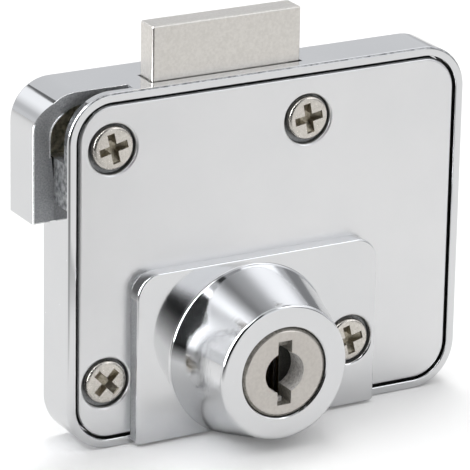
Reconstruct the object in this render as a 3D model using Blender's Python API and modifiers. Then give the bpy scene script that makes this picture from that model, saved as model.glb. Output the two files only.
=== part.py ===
"""Glass showcase lock, built as separate pieces at real size, in metres.

The case stands upright on its bottom edge. Seen from the front, +X is to the right and +Z is up, and
the front faces -Y. The origin is on the case's back face, behind the axis of the cylinder. Distances
called setbacks are measured from the plane of the case's front rim, towards the back.
"""
import math

import bmesh
import bpy
from mathutils import Matrix

# Case casting
CASE_WIDTH = 0.0580
CASE_HEIGHT = 0.0478
CASE_DEPTH = 0.0072
CASE_CORNER_RADIUS = 0.0062
CASE_FILLET = 0.0004
RIM_WIDTH = 0.0012
SIDE_WALL = 0.0020
AXIS_FROM_LEFT = 0.0254
AXIS_FROM_BOTTOM = 0.0109

# Corner lug that wraps round the edge of the glass
LUG_PROUD = 0.0029
LUG_WALL = 0.0024
LUG_SETBACK = 0.0041
LUG_REACH = 0.0038
LUG_DROP = 0.0173
LUG_RUN = 0.0200
LUG_CORNER_RADIUS = 0.0054
LUG_FILLET = 0.0005

# Window in the corner, between the front rim and the lug
RIM_BAR_DEPTH = 0.0012
WINDOW_DROP = 0.0082
WINDOW_RUN = 0.0096
WINDOW_SILL_RISE = 0.0007
SLIT_WIDTH = 0.0003
SLIT_HEIGHT = 0.0027
SLIT_DEPTH = 0.0010

# Clearances
SEAT_GAP = 0.0002
PLATE_GAP = 0.0003
BOLT_GAP = 0.00025
TURN_GAP = 0.00015
SLOT_GAP = 0.00015
THREAD_GAP = 0.00015
PIN_GAP = 0.0003

# Cover plate
PLATE_INSET = 0.0001
PLATE_FILLET = 0.0002
COUNTERBORE_RADIUS = 0.00335
COUNTERBORE_DEPTH = 0.0010
COUNTERBORE_FLARE = 0.0002

# Screws
SCREW_RADIUS = 0.0015
SCREW_HEAD_RADIUS = 0.00288
SCREW_HEAD_HEIGHT = 0.0009
SCREW_HEAD_DOME = 0.00035
SCREW_TIP_CHAMFER = 0.0003
CROSS_SPAN = 0.0041
CROSS_ARM = 0.0010
CROSS_DEPTH = 0.0006
COVER_SCREW_LENGTH = 0.0056
FLANGE_SCREW_LENGTH = 0.0058
BOSS_RADIUS = 0.0026
TOP_LEFT_SCREW_FROM_CORNER = (0.0063, 0.0074)
TOP_RIGHT_SCREW_FROM_CORNER = (0.0345, 0.0074)
BOTTOM_LEFT_SCREW_FROM_CORNER = (0.0055, 0.0090)
FLANGE_SCREW_FROM_AXIS = (0.01505, -0.0013)
TOP_LEFT_SCREW_ROLL = -13.0
TOP_RIGHT_SCREW_ROLL = -10.0
BOTTOM_LEFT_SCREW_ROLL = -45.0
FLANGE_SCREW_ROLL = -14.0

# Bolt
BOLT_WIDTH = 0.0214
BOLT_THICKNESS = 0.0034
BOLT_FROM_LEFT = 0.0128
BOLT_SETBACK = 0.0020
BOLT_PROJECTION = 0.0073
BOLT_THROW = 0.0055
BOLT_HEAD_DROP = 0.0180
BOLT_TAIL_WIDTH = 0.0143
BOLT_TAIL_FOOT = 0.0016
BOLT_RELIEF = 0.0007
BOLT_FILLET = 0.0003
GUIDE_THICKNESS = 0.0012
GUIDE_FOOT_RISE = 0.0200

# Cylinder housing: base flange and tapered nose in one casting
FLANGE_LEFT = 0.0164
FLANGE_RIGHT = 0.0190
FLANGE_TOP = 0.0126
FLANGE_CORNER_RADIUS = 0.0033
FLANGE_FOOT_RADIUS = 0.0005
FLANGE_FOOT_LIFT = 0.00035
NOSE_FOOT_LIFT = 0.0001
FLANGE_PROUD = 0.0018
FLANGE_FILLET = 0.0004
NOSE_LENGTH = 0.00935
NOSE_BASE_RADIUS = 0.0116
NOSE_FRONT_RADIUS = 0.0092
NOSE_FILLET = 0.0005
HOOK_STEM = 0.0018
HOOK_HEIGHT = 0.0040
HOOK_TOE = 0.0014
HOOK_THICKNESS = 0.0007
HOOK_FROM_EDGE = 0.0020

# Plug
PLUG_HEAD_RADIUS = 0.0060
PLUG_HEAD_LENGTH = 0.0016
PLUG_RADIUS = 0.0055
PLUG_CHAMFER = 0.0003
PLUG_INSET = 0.0001
TAIL_RADIUS = 0.0024
TAIL_FLAT = 0.0019
KEYWAY_WIDTH = 0.0020
KEYWAY_HEIGHT = 0.0087
KEYHOLE_RADIUS = 0.0028
KEYHOLE_DEPTH = 0.0030
KEYHOLE_FLOOR = 0.0003
PLUG_REAR_WEB = 0.0010

# Wafers and their springs
WAFER_COUNT = 5
WAFER_WIDTH = 0.0050
WAFER_THICKNESS = 0.0008
WAFER_REAR_WALL = 0.0008
WAFER_LIFT = 0.0006
WAFER_WINDOW_WIDTH = 0.0023
WAFER_WINDOW_HEIGHT = 0.0082
WAFER_CODE_SHARES = (0.2, 0.9, 0.5, 0.0, 0.7)
WAFER_CODE_STEP = 0.0006
EAR_LENGTH = 0.0013
EAR_HEIGHT = 0.0012
SPRING_TURNS = 5
SPRING_TURN_POINTS = 8
SPRING_RADIUS = 0.00036
SPRING_WIRE_RADIUS = 0.00009
SPRING_LENGTH = 0.0027

# Cam and its clip
CAM_RADIUS = 0.0065
CAM_THICKNESS = 0.0012
CAM_FILLET = 0.0002
CRANK_PIN_RADIUS = 0.0010
PIN_STANDOFF = 0.0003
CLIP_THICKNESS = 0.0005
CLIP_RADIUS = 0.0036
CLIP_GROOVE_DEPTH = 0.0005
TAIL_OVERHANG = 0.0003

# Cutters run past what they cut, and joined shapes run into each other, by these lengths
OVERRUN = 0.0010
BITE = 0.0002

# Facets of round shapes
QUARTER_TURN = 90.0
HALF_TURN = 180.0
FULL_TURN = 360.0
CORNER_STEPS = 8
SMALL_STEPS = 4
BEVEL_STEPS = 2
DOUBLE_D_STEPS = 16
LARGE_ROUND = 72
ROUND = 48
SMALL_ROUND = 32
SHARP_ANGLE = 30.0
FLAT_ANGLE = 0.5
WIRE_BEVEL_RESOLUTION = 1
WELD = 0.000001

# Turning angle of the key, and the crank's place above the horizontal at rest
KEY_TURN = QUARTER_TURN
CRANK_REST_ANGLE = KEY_TURN / 2

# Finishes: colour, roughness
CHROME = ((0.84, 0.85, 0.86), 0.12)
NICKEL = ((0.76, 0.75, 0.73), 0.32)
STEEL = ((0.62, 0.62, 0.63), 0.40)
BRASS = ((0.72, 0.60, 0.36), 0.35)

# Places worked out from the sizes
CASE_LEFT = -AXIS_FROM_LEFT
CASE_RIGHT = CASE_LEFT + CASE_WIDTH
CASE_BOTTOM = -AXIS_FROM_BOTTOM
CASE_TOP = CASE_BOTTOM + CASE_HEIGHT
BACK_Y = 0.0
FRONT_Y = BACK_Y - CASE_DEPTH
LUG_LEFT = CASE_LEFT - LUG_PROUD
LUG_BOTTOM = CASE_TOP - LUG_DROP
LUG_FRONT_Y = FRONT_Y + LUG_SETBACK
WINDOW_BOTTOM = CASE_TOP - WINDOW_DROP
WINDOW_RIGHT = CASE_LEFT + WINDOW_RUN

BOLT_LEFT = CASE_LEFT + BOLT_FROM_LEFT
BOLT_RIGHT = BOLT_LEFT + BOLT_WIDTH
BOLT_FRONT_Y = FRONT_Y + BOLT_SETBACK
BOLT_BACK_Y = BOLT_FRONT_Y + BOLT_THICKNESS
BOLT_TOP = CASE_TOP + BOLT_PROJECTION
LEDGE_Y = BOLT_FRONT_Y - BOLT_GAP
FLOOR_Y = BOLT_BACK_Y + BOLT_GAP
PLATE_FRONT_Y = FRONT_Y + PLATE_INSET
PLATE_BACK_Y = LEDGE_Y - SEAT_GAP

FLANGE_FRONT_Y = FRONT_Y - FLANGE_PROUD
FLANGE_BACK_Y = FRONT_Y - SEAT_GAP
NOSE_FRONT_Y = FLANGE_FRONT_Y - NOSE_LENGTH
PLUG_FRONT_Y = NOSE_FRONT_Y + PLUG_INSET
SHOULDER_Y = PLUG_FRONT_Y + PLUG_HEAD_LENGTH
PLUG_REAR_Y = FLANGE_BACK_Y
CAM_FRONT_Y = FLANGE_BACK_Y + SEAT_GAP
CAM_BACK_Y = CAM_FRONT_Y + CAM_THICKNESS
CLIP_FRONT_Y = CAM_BACK_Y + SEAT_GAP
CLIP_BACK_Y = CLIP_FRONT_Y + CLIP_THICKNESS
TAIL_END_Y = CLIP_BACK_Y + TAIL_OVERHANG

CRANK_RADIUS = BOLT_THROW / (2 * math.sin(math.radians(CRANK_REST_ANGLE)))
CRANK_PIN_X = CRANK_RADIUS * math.cos(math.radians(CRANK_REST_ANGLE))
CRANK_PIN_Z = CRANK_RADIUS * math.sin(math.radians(CRANK_REST_ANGLE))

TOP_LEFT_SCREW = (CASE_LEFT + TOP_LEFT_SCREW_FROM_CORNER[0], CASE_TOP - TOP_LEFT_SCREW_FROM_CORNER[1])
TOP_RIGHT_SCREW = (CASE_LEFT + TOP_RIGHT_SCREW_FROM_CORNER[0], CASE_TOP - TOP_RIGHT_SCREW_FROM_CORNER[1])
BOTTOM_LEFT_SCREW = (
    CASE_LEFT + BOTTOM_LEFT_SCREW_FROM_CORNER[0],
    CASE_BOTTOM + BOTTOM_LEFT_SCREW_FROM_CORNER[1],
)
FLANGE_SCREW = FLANGE_SCREW_FROM_AXIS
COVER_SCREW_SEAT_Y = PLATE_FRONT_Y + COUNTERBORE_DEPTH - SEAT_GAP
FLANGE_SCREW_SEAT_Y = FLANGE_FRONT_Y + COUNTERBORE_DEPTH - SEAT_GAP

NOTCH_X = TOP_RIGHT_SCREW[0] - SCREW_RADIUS - BOLT_GAP
NOTCH_TOP = TOP_RIGHT_SCREW[1] + SCREW_RADIUS + BOLT_GAP + BOLT_THROW
TAIL_LEFT = NOTCH_X - BOLT_TAIL_WIDTH
HEAD_BOTTOM = CASE_TOP - BOLT_HEAD_DROP
SLOT_HALF_HEIGHT = CRANK_PIN_RADIUS + PIN_GAP
TAIL_BOTTOM = CRANK_PIN_Z - SLOT_HALF_HEIGHT - BOLT_TAIL_FOOT
RELIEF_TOP = CLIP_RADIUS + BOLT_THROW + BOLT_GAP

BORE_RADIUS = PLUG_RADIUS + TURN_GAP
WAFER_END_RADIUS = PLUG_RADIUS - TURN_GAP
WAFER_SLOT = WAFER_THICKNESS + 2 * SLOT_GAP
FIRST_WAFER_Y = PLUG_FRONT_Y + KEYHOLE_DEPTH + KEYHOLE_FLOOR + WAFER_SLOT / 2
LAST_WAFER_Y = PLUG_REAR_Y - WAFER_REAR_WALL - WAFER_SLOT / 2
WAFER_PITCH = (LAST_WAFER_Y - FIRST_WAFER_Y) / (WAFER_COUNT - 1)
EAR_BOTTOM = -EAR_HEIGHT / 2
EAR_RIGHT = WAFER_WIDTH / 2 + EAR_LENGTH
SPRING_X = WAFER_WIDTH / 2 + EAR_LENGTH / 2
SPRING_TOP = EAR_BOTTOM - SLOT_GAP / 2
SPRING_SEAT = SPRING_TOP - SPRING_LENGTH


def clear_scene():
    """Remove every object and collection of the opened file."""
    for item in list(bpy.data.objects):
        bpy.data.objects.remove(item, do_unlink=True)
    for group in list(bpy.data.collections):
        bpy.data.collections.remove(group)


def new_collection(name):
    """Make a collection in the scene."""
    group = bpy.data.collections.new(name)
    bpy.context.scene.collection.children.link(group)
    return group


def place(item, group):
    """Put an object in one collection only."""
    for owner in list(item.users_collection):
        owner.objects.unlink(item)
    group.objects.link(item)
    if group.name == "cutters":
        item.hide_render = True
        item.display_type = "WIRE"
    return item


def metal(name, colour, roughness):
    """Make a Principled metal material."""
    material = bpy.data.materials.new(name)
    material.use_nodes = True
    shader = material.node_tree.nodes["Principled BSDF"]
    shader.inputs["Base Color"].default_value = (*colour, 1.0)
    shader.inputs["Roughness"].default_value = roughness
    shader.inputs["Metallic"].default_value = 1.0
    return material


def weld_mesh(mesh):
    """Merge doubled points and flat neighbouring faces, so that caps are single faces."""
    work = bmesh.new()
    work.from_mesh(mesh)
    bmesh.ops.remove_doubles(work, verts=work.verts, dist=WELD)
    flat = math.radians(FLAT_ANGLE)
    bmesh.ops.dissolve_limit(work, angle_limit=flat, verts=work.verts, edges=work.edges)
    work.to_mesh(mesh)
    work.free()


def mesh_from_curve(curve_item, group):
    """Turn a curve object into a welded mesh object in the same place."""
    bpy.context.view_layer.update()
    evaluated = curve_item.evaluated_get(bpy.context.evaluated_depsgraph_get())
    mesh = bpy.data.meshes.new_from_object(evaluated)
    weld_mesh(mesh)
    item = bpy.data.objects.new(curve_item.name + "_mesh", mesh)
    item.matrix_world = curve_item.matrix_world
    name = curve_item.name
    curve = curve_item.data
    bpy.data.objects.remove(curve_item, do_unlink=True)
    bpy.data.curves.remove(curve)
    item.name = name
    return place(item, group)


def slab(name, outline, front, back, group):
    """Extrude a flat outline of (x, z) points between two y planes."""
    curve = bpy.data.curves.new(name, "CURVE")
    curve.dimensions = "2D"
    curve.fill_mode = "BOTH"
    curve.extrude = (back - front) / 2
    spline = curve.splines.new("POLY")
    spline.points.add(len(outline) - 1)
    for point, (x, z) in zip(spline.points, outline):
        point.co = (x, z, 0, 1)
    spline.use_cyclic_u = True
    item = bpy.data.objects.new(name, curve)
    bpy.context.scene.collection.objects.link(item)
    item.rotation_euler = (math.radians(QUARTER_TURN), 0, 0)
    item.location = (0, (front + back) / 2, 0)
    return mesh_from_curve(item, group)


def block(name, left, right, front, back, bottom, top, group):
    """Make a box from its six planes."""
    centre = ((left + right) / 2, (front + back) / 2, (bottom + top) / 2)
    bpy.ops.mesh.primitive_cube_add(size=1, location=centre)
    item = bpy.context.object
    item.name = name
    item.scale = (right - left, back - front, top - bottom)
    bpy.ops.object.transform_apply(location=False, rotation=False, scale=True)
    return place(item, group)


def rod(name, radius, front, back, centre, group, sides=SMALL_ROUND):
    """Make a cylinder along Y, centred on an (x, z) point."""
    bpy.ops.mesh.primitive_cylinder_add(
        vertices=sides,
        radius=radius,
        depth=back - front,
        location=(centre[0], (front + back) / 2, centre[1]),
        rotation=(math.radians(QUARTER_TURN), 0, 0),
    )
    item = bpy.context.object
    item.name = name
    return place(item, group)


def turned(name, profile, centre, group, sides=ROUND, closed=False):
    """Turn a profile of (radius, y) points, listed from the front to the back, about a Y axis."""
    mesh = bpy.data.meshes.new(name)
    points = [(radius, 0, -y) for radius, y in profile]
    edges = [(i, i + 1) for i in range(len(points) - 1)]
    if closed:
        edges.append((len(points) - 1, 0))
    mesh.from_pydata(points, edges, [])
    item = bpy.data.objects.new(name, mesh)
    item.location = (centre[0], 0, centre[1])
    item.rotation_euler = (math.radians(QUARTER_TURN), 0, 0)
    screw = item.modifiers.new("Turn", "SCREW")
    screw.angle = math.radians(FULL_TURN)
    screw.steps = sides
    screw.render_steps = sides
    screw.use_merge_vertices = True
    screw.merge_threshold = WELD
    return place(item, group)


def combine(target, tool, operation):
    """Add an exact Boolean modifier."""
    modifier = target.modifiers.new(tool.name, "BOOLEAN")
    modifier.operation = operation
    modifier.solver = "EXACT"
    modifier.object = tool
    return target


def cut(target, *tools):
    """Cut each tool from the target."""
    for tool in tools:
        combine(target, tool, "DIFFERENCE")


def join(target, *tools):
    """Join each tool to the target as one solid."""
    for tool in tools:
        combine(target, tool, "UNION")


def soften(item, width):
    """Round the sharp edges."""
    bevel = item.modifiers.new("Soften", "BEVEL")
    bevel.width = width
    bevel.segments = BEVEL_STEPS
    bevel.limit_method = "ANGLE"
    bevel.angle_limit = math.radians(SHARP_ANGLE)


def shade(item):
    """Shade a mesh smooth, with its sharp edges kept."""
    item.data.shade_smooth()
    item.data.set_sharp_from_angle(angle=math.radians(SHARP_ANGLE))


def arc(centre, radius, start, end, steps):
    """List the points of an arc, with angles in degrees from the first axis."""
    points = []
    for i in range(steps + 1):
        angle = math.radians(start + (end - start) * i / steps)
        points.append((centre[0] + radius * math.cos(angle), centre[1] + radius * math.sin(angle)))
    return points


def rounded_outline(left, right, bottom, top, radii, steps=CORNER_STEPS):
    """Outline of a rectangle; radii run bottom left, bottom right, top right, top left."""
    low_left, low_right, high_right, high_left = radii
    corners = (
        (right - high_right, top - high_right, high_right),
        (left + high_left, top - high_left, high_left),
        (left + low_left, bottom + low_left, low_left),
        (right - low_right, bottom + low_right, low_right),
    )
    points = []
    for index, (x, z, radius) in enumerate(corners):
        start = index * QUARTER_TURN
        points += arc((x, z), radius, start, start + QUARTER_TURN, steps)
    return points


def case_outline(inset):
    """Outline of the case, drawn in by an inset."""
    radius = CASE_CORNER_RADIUS - inset
    return rounded_outline(
        CASE_LEFT + inset, CASE_RIGHT - inset, CASE_BOTTOM + inset, CASE_TOP - inset, [radius] * 4
    )


def lug_outline():
    """Outline of the bent bar of the corner lug."""
    corner = (LUG_LEFT + LUG_CORNER_RADIUS, CASE_TOP - LUG_CORNER_RADIUS)
    inner = arc(corner, LUG_CORNER_RADIUS - LUG_WALL, HALF_TURN, QUARTER_TURN, CORNER_STEPS)
    outer = arc(corner, LUG_CORNER_RADIUS, QUARTER_TURN, HALF_TURN, CORNER_STEPS)
    right = CASE_LEFT + LUG_RUN
    points = [(LUG_LEFT, LUG_BOTTOM), (LUG_LEFT + LUG_WALL, LUG_BOTTOM)]
    points += inner
    points += [(right, CASE_TOP - LUG_WALL), (right, CASE_TOP)]
    return points + outer


def double_d_outline(radius, flat):
    """Outline of a round with two flats, at plus and minus flat on X."""
    angle = math.degrees(math.acos(flat / radius))
    points = arc((0, 0), radius, angle, HALF_TURN - angle, DOUBLE_D_STEPS)
    return points + arc((0, 0), radius, HALF_TURN + angle, FULL_TURN - angle, DOUBLE_D_STEPS)


def counterbore(name, surface, back, centre, group):
    """Cutter of a screw head's seat, flared at its mouth, with the screw's hole down to a y plane."""
    mouth = COUNTERBORE_RADIUS + COUNTERBORE_FLARE
    profile = [(0, surface - OVERRUN), (mouth, surface - OVERRUN)]
    flare_centre = (mouth, surface + COUNTERBORE_FLARE)
    for radius, y in arc(
        flare_centre, COUNTERBORE_FLARE, -QUARTER_TURN, -HALF_TURN, SMALL_STEPS
    ):
        profile.append((radius, y))
    profile.append((COUNTERBORE_RADIUS, surface + COUNTERBORE_DEPTH))
    profile.append((SCREW_RADIUS + THREAD_GAP, surface + COUNTERBORE_DEPTH))
    profile.append((SCREW_RADIUS + THREAD_GAP, back + OVERRUN))
    profile.append((0, back + OVERRUN))
    return turned(name, profile, centre, group)


def build_case(parts, tools):
    """Cast case: tray with a corner lug, window, screw bosses, bolt guides and bolt slot."""
    case = slab("case", case_outline(0), FRONT_Y, BACK_Y, parts)
    soften(case, CASE_FILLET)
    lug = slab("lug_bar", lug_outline(), LUG_FRONT_Y, BACK_Y + LUG_REACH, tools)
    soften(lug, LUG_FILLET)
    web = block(
        "lug_web",
        LUG_LEFT + LUG_WALL - LUG_FILLET - BITE,
        CASE_LEFT + CASE_CORNER_RADIUS,
        LUG_FRONT_Y,
        BACK_Y,
        LUG_BOTTOM + LUG_FILLET,
        CASE_TOP - LUG_WALL + BITE,
        tools,
    )
    join(case, lug, web)

    rebate = slab("plate_rebate", case_outline(RIM_WIDTH), FRONT_Y - OVERRUN, LEDGE_Y, tools)
    cavity = slab("cavity", case_outline(SIDE_WALL), FRONT_Y, FLOOR_Y, tools)
    window = block(
        "window",
        LUG_LEFT - OVERRUN,
        WINDOW_RIGHT,
        FRONT_Y + RIM_BAR_DEPTH,
        LUG_FRONT_Y,
        WINDOW_BOTTOM,
        CASE_TOP + OVERRUN,
        tools,
    )
    sill = block(
        "window_sill",
        LUG_LEFT - OVERRUN,
        CASE_LEFT + SIDE_WALL,
        FRONT_Y + RIM_BAR_DEPTH,
        LUG_FRONT_Y,
        WINDOW_BOTTOM - WINDOW_SILL_RISE,
        WINDOW_BOTTOM + WINDOW_SILL_RISE,
        tools,
    )
    sill.rotation_euler = (0, math.atan2(WINDOW_SILL_RISE, SIDE_WALL), 0)
    corner = LUG_CORNER_RADIUS - LUG_WALL
    pocket_outline = rounded_outline(
        LUG_LEFT + LUG_WALL,
        WINDOW_RIGHT,
        WINDOW_BOTTOM,
        CASE_TOP - LUG_WALL,
        [BITE, BITE, BITE, corner],
    )
    pocket = slab("corner_pocket", pocket_outline, FRONT_Y + RIM_BAR_DEPTH, FLOOR_Y, tools)
    slit = block(
        "lug_slit",
        CASE_LEFT - SLIT_WIDTH,
        CASE_LEFT,
        LUG_FRONT_Y - OVERRUN,
        LUG_FRONT_Y + SLIT_DEPTH,
        WINDOW_BOTTOM - SLIT_HEIGHT,
        WINDOW_BOTTOM + BITE,
        tools,
    )
    cut(case, rebate, cavity, window, sill, pocket, slit)

    screws = {
        "top_left": (TOP_LEFT_SCREW, COVER_SCREW_SEAT_Y + COVER_SCREW_LENGTH),
        "top_right": (TOP_RIGHT_SCREW, COVER_SCREW_SEAT_Y + COVER_SCREW_LENGTH),
        "bottom_left": (BOTTOM_LEFT_SCREW, COVER_SCREW_SEAT_Y + COVER_SCREW_LENGTH),
        "flange": (FLANGE_SCREW, FLANGE_SCREW_SEAT_Y + FLANGE_SCREW_LENGTH),
    }
    for name, (centre, _) in screws.items():
        join(case, rod(name + "_boss", BOSS_RADIUS, LEDGE_Y, FLOOR_Y + BITE, centre, tools))
    for name, left, foot, top in guide_ribs():
        rib = block(
            name, left, left + GUIDE_THICKNESS, LEDGE_Y, FLOOR_Y + BITE, foot, top, tools
        )
        join(case, rib)
    for name, (centre, tip) in screws.items():
        hole = rod(
            name + "_thread", SCREW_RADIUS + THREAD_GAP, FRONT_Y, tip + SEAT_GAP, centre, tools
        )
        cut(case, hole)
    bolt_clearance = block(
        "boss_flat",
        TOP_RIGHT_SCREW[0] - BOSS_RADIUS - OVERRUN,
        BOLT_RIGHT + BOLT_GAP,
        LEDGE_Y - OVERRUN,
        FLOOR_Y,
        TOP_RIGHT_SCREW[1] - BOSS_RADIUS,
        TOP_RIGHT_SCREW[1] + BOSS_RADIUS + OVERRUN,
        tools,
    )
    bolt_slot = block(
        "bolt_slot",
        BOLT_LEFT - BOLT_GAP,
        BOLT_RIGHT + BOLT_GAP,
        LEDGE_Y,
        FLOOR_Y,
        CASE_TOP - SIDE_WALL - OVERRUN,
        CASE_TOP + OVERRUN,
        tools,
    )
    cut(case, bolt_clearance, bolt_slot)
    return case


def guide_ribs():
    """Left edge, foot and top of the two ribs that guide the bolt."""
    foot = CASE_BOTTOM + GUIDE_FOOT_RISE
    left = BOLT_LEFT - BOLT_GAP - GUIDE_THICKNESS
    right_top = TOP_RIGHT_SCREW[1] - BOSS_RADIUS + BITE
    return [
        ("left_guide", left, foot, CASE_TOP - SIDE_WALL + BITE),
        ("right_guide", NOTCH_X + BOLT_GAP, foot, right_top),
    ]


def build_cover_plate(parts, tools):
    """Cover plate with screw seats and the openings for the cam, the flange screw and the hook."""
    plate = slab(
        "cover_plate", case_outline(RIM_WIDTH + PLATE_GAP), PLATE_FRONT_Y, PLATE_BACK_Y, parts
    )
    soften(plate, PLATE_FILLET)
    for name, centre in (
        ("top_left_seat", TOP_LEFT_SCREW),
        ("top_right_seat", TOP_RIGHT_SCREW),
        ("bottom_left_seat", BOTTOM_LEFT_SCREW),
    ):
        cut(plate, counterbore(name, PLATE_FRONT_Y, PLATE_BACK_Y, centre, tools))
    flange_screw_hole = rod(
        "flange_screw_hole",
        SCREW_RADIUS + THREAD_GAP,
        PLATE_FRONT_Y - OVERRUN,
        PLATE_BACK_Y + OVERRUN,
        FLANGE_SCREW,
        tools,
    )
    cam_hole = rod(
        "cam_hole",
        CAM_RADIUS + PIN_GAP,
        PLATE_FRONT_Y - OVERRUN,
        PLATE_BACK_Y + OVERRUN,
        (0, 0),
        tools,
        LARGE_ROUND,
    )
    left, right = hook_span()
    hook_slot = block(
        "hook_slot",
        left - HOOK_TOE,
        right + HOOK_TOE / 2,
        PLATE_FRONT_Y - OVERRUN,
        PLATE_BACK_Y + OVERRUN,
        -HOOK_HEIGHT / 2 - SEAT_GAP,
        HOOK_HEIGHT / 2 + SEAT_GAP,
        tools,
    )
    cut(plate, flange_screw_hole, cam_hole, hook_slot)
    return plate


def hook_span():
    """Left and right planes of the hook's stem."""
    left = -FLANGE_LEFT + HOOK_FROM_EDGE
    return left, left + HOOK_STEM


def build_housing(parts, tools):
    """Cylinder housing: flange, tapered nose, stepped bore, wafer grooves, screw seat and hook."""
    outline = rounded_outline(
        -FLANGE_LEFT,
        FLANGE_RIGHT,
        CASE_BOTTOM + FLANGE_FOOT_LIFT,
        FLANGE_TOP,
        [FLANGE_FOOT_RADIUS, FLANGE_FOOT_RADIUS, FLANGE_CORNER_RADIUS, FLANGE_CORNER_RADIUS],
        SMALL_STEPS,
    )
    housing = slab("cylinder_housing", outline, FLANGE_FRONT_Y, FLANGE_BACK_Y, parts)
    soften(housing, FLANGE_FILLET)
    edge = (NOSE_FRONT_RADIUS - NOSE_FILLET, NOSE_FRONT_Y + NOSE_FILLET)
    profile = [(0, NOSE_FRONT_Y)]
    profile += arc(edge, NOSE_FILLET, -QUARTER_TURN, 0, SMALL_STEPS)
    profile += [(NOSE_BASE_RADIUS, FLANGE_FRONT_Y), (NOSE_BASE_RADIUS, FLANGE_FRONT_Y + BITE)]
    profile += [(0, FLANGE_FRONT_Y + BITE)]
    nose = turned("nose", profile, (0, 0), tools, LARGE_ROUND)
    nose_foot = CASE_BOTTOM + FLANGE_FOOT_LIFT + NOSE_FOOT_LIFT
    foot_trim = block(
        "nose_foot_trim",
        -NOSE_BASE_RADIUS,
        NOSE_BASE_RADIUS,
        NOSE_FRONT_Y - OVERRUN,
        FLANGE_FRONT_Y + OVERRUN,
        nose_foot - NOSE_BASE_RADIUS,
        nose_foot,
        tools,
    )
    cut(nose, foot_trim)
    left, right = hook_span()
    stem = block(
        "hook_stem",
        left,
        right,
        FLANGE_BACK_Y - BITE,
        PLATE_BACK_Y + SEAT_GAP + HOOK_THICKNESS,
        -HOOK_HEIGHT / 2,
        HOOK_HEIGHT / 2,
        tools,
    )
    toe = block(
        "hook_toe",
        left - HOOK_TOE + SEAT_GAP,
        right - BITE,
        PLATE_BACK_Y + SEAT_GAP,
        PLATE_BACK_Y + SEAT_GAP + HOOK_THICKNESS,
        -HOOK_HEIGHT / 2 + BITE,
        HOOK_HEIGHT / 2 - BITE,
        tools,
    )
    join(housing, nose, stem, toe)

    step_y = SHOULDER_Y + SEAT_GAP
    head_bore = PLUG_HEAD_RADIUS + TURN_GAP
    bore_profile = [
        (0, NOSE_FRONT_Y - OVERRUN),
        (head_bore, NOSE_FRONT_Y - OVERRUN),
        (head_bore, step_y),
        (BORE_RADIUS, step_y),
        (BORE_RADIUS, FLANGE_BACK_Y + OVERRUN),
        (0, FLANGE_BACK_Y + OVERRUN),
    ]
    bore = turned("plug_bore", bore_profile, (0, 0), tools, LARGE_ROUND)
    half = WAFER_WIDTH / 2 + SLOT_GAP
    reach = WAFER_END_RADIUS + WAFER_LIFT + PIN_GAP
    groove_front = wafer_y(0) - WAFER_SLOT
    groove_back = FLANGE_BACK_Y + OVERRUN
    top_groove = block("top_groove", -half, half, groove_front, groove_back, 0, reach, tools)
    side_groove = block("side_groove", 0, reach, groove_front, groove_back, -half, half, tools)
    seat = counterbore("flange_seat", FLANGE_FRONT_Y, FLANGE_BACK_Y, FLANGE_SCREW, tools)
    cut(housing, bore, top_groove, side_groove, seat)
    return housing


def wafer_y(index):
    """Centre of a wafer along the plug, counted from the front."""
    return FIRST_WAFER_Y + index * WAFER_PITCH


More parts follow.
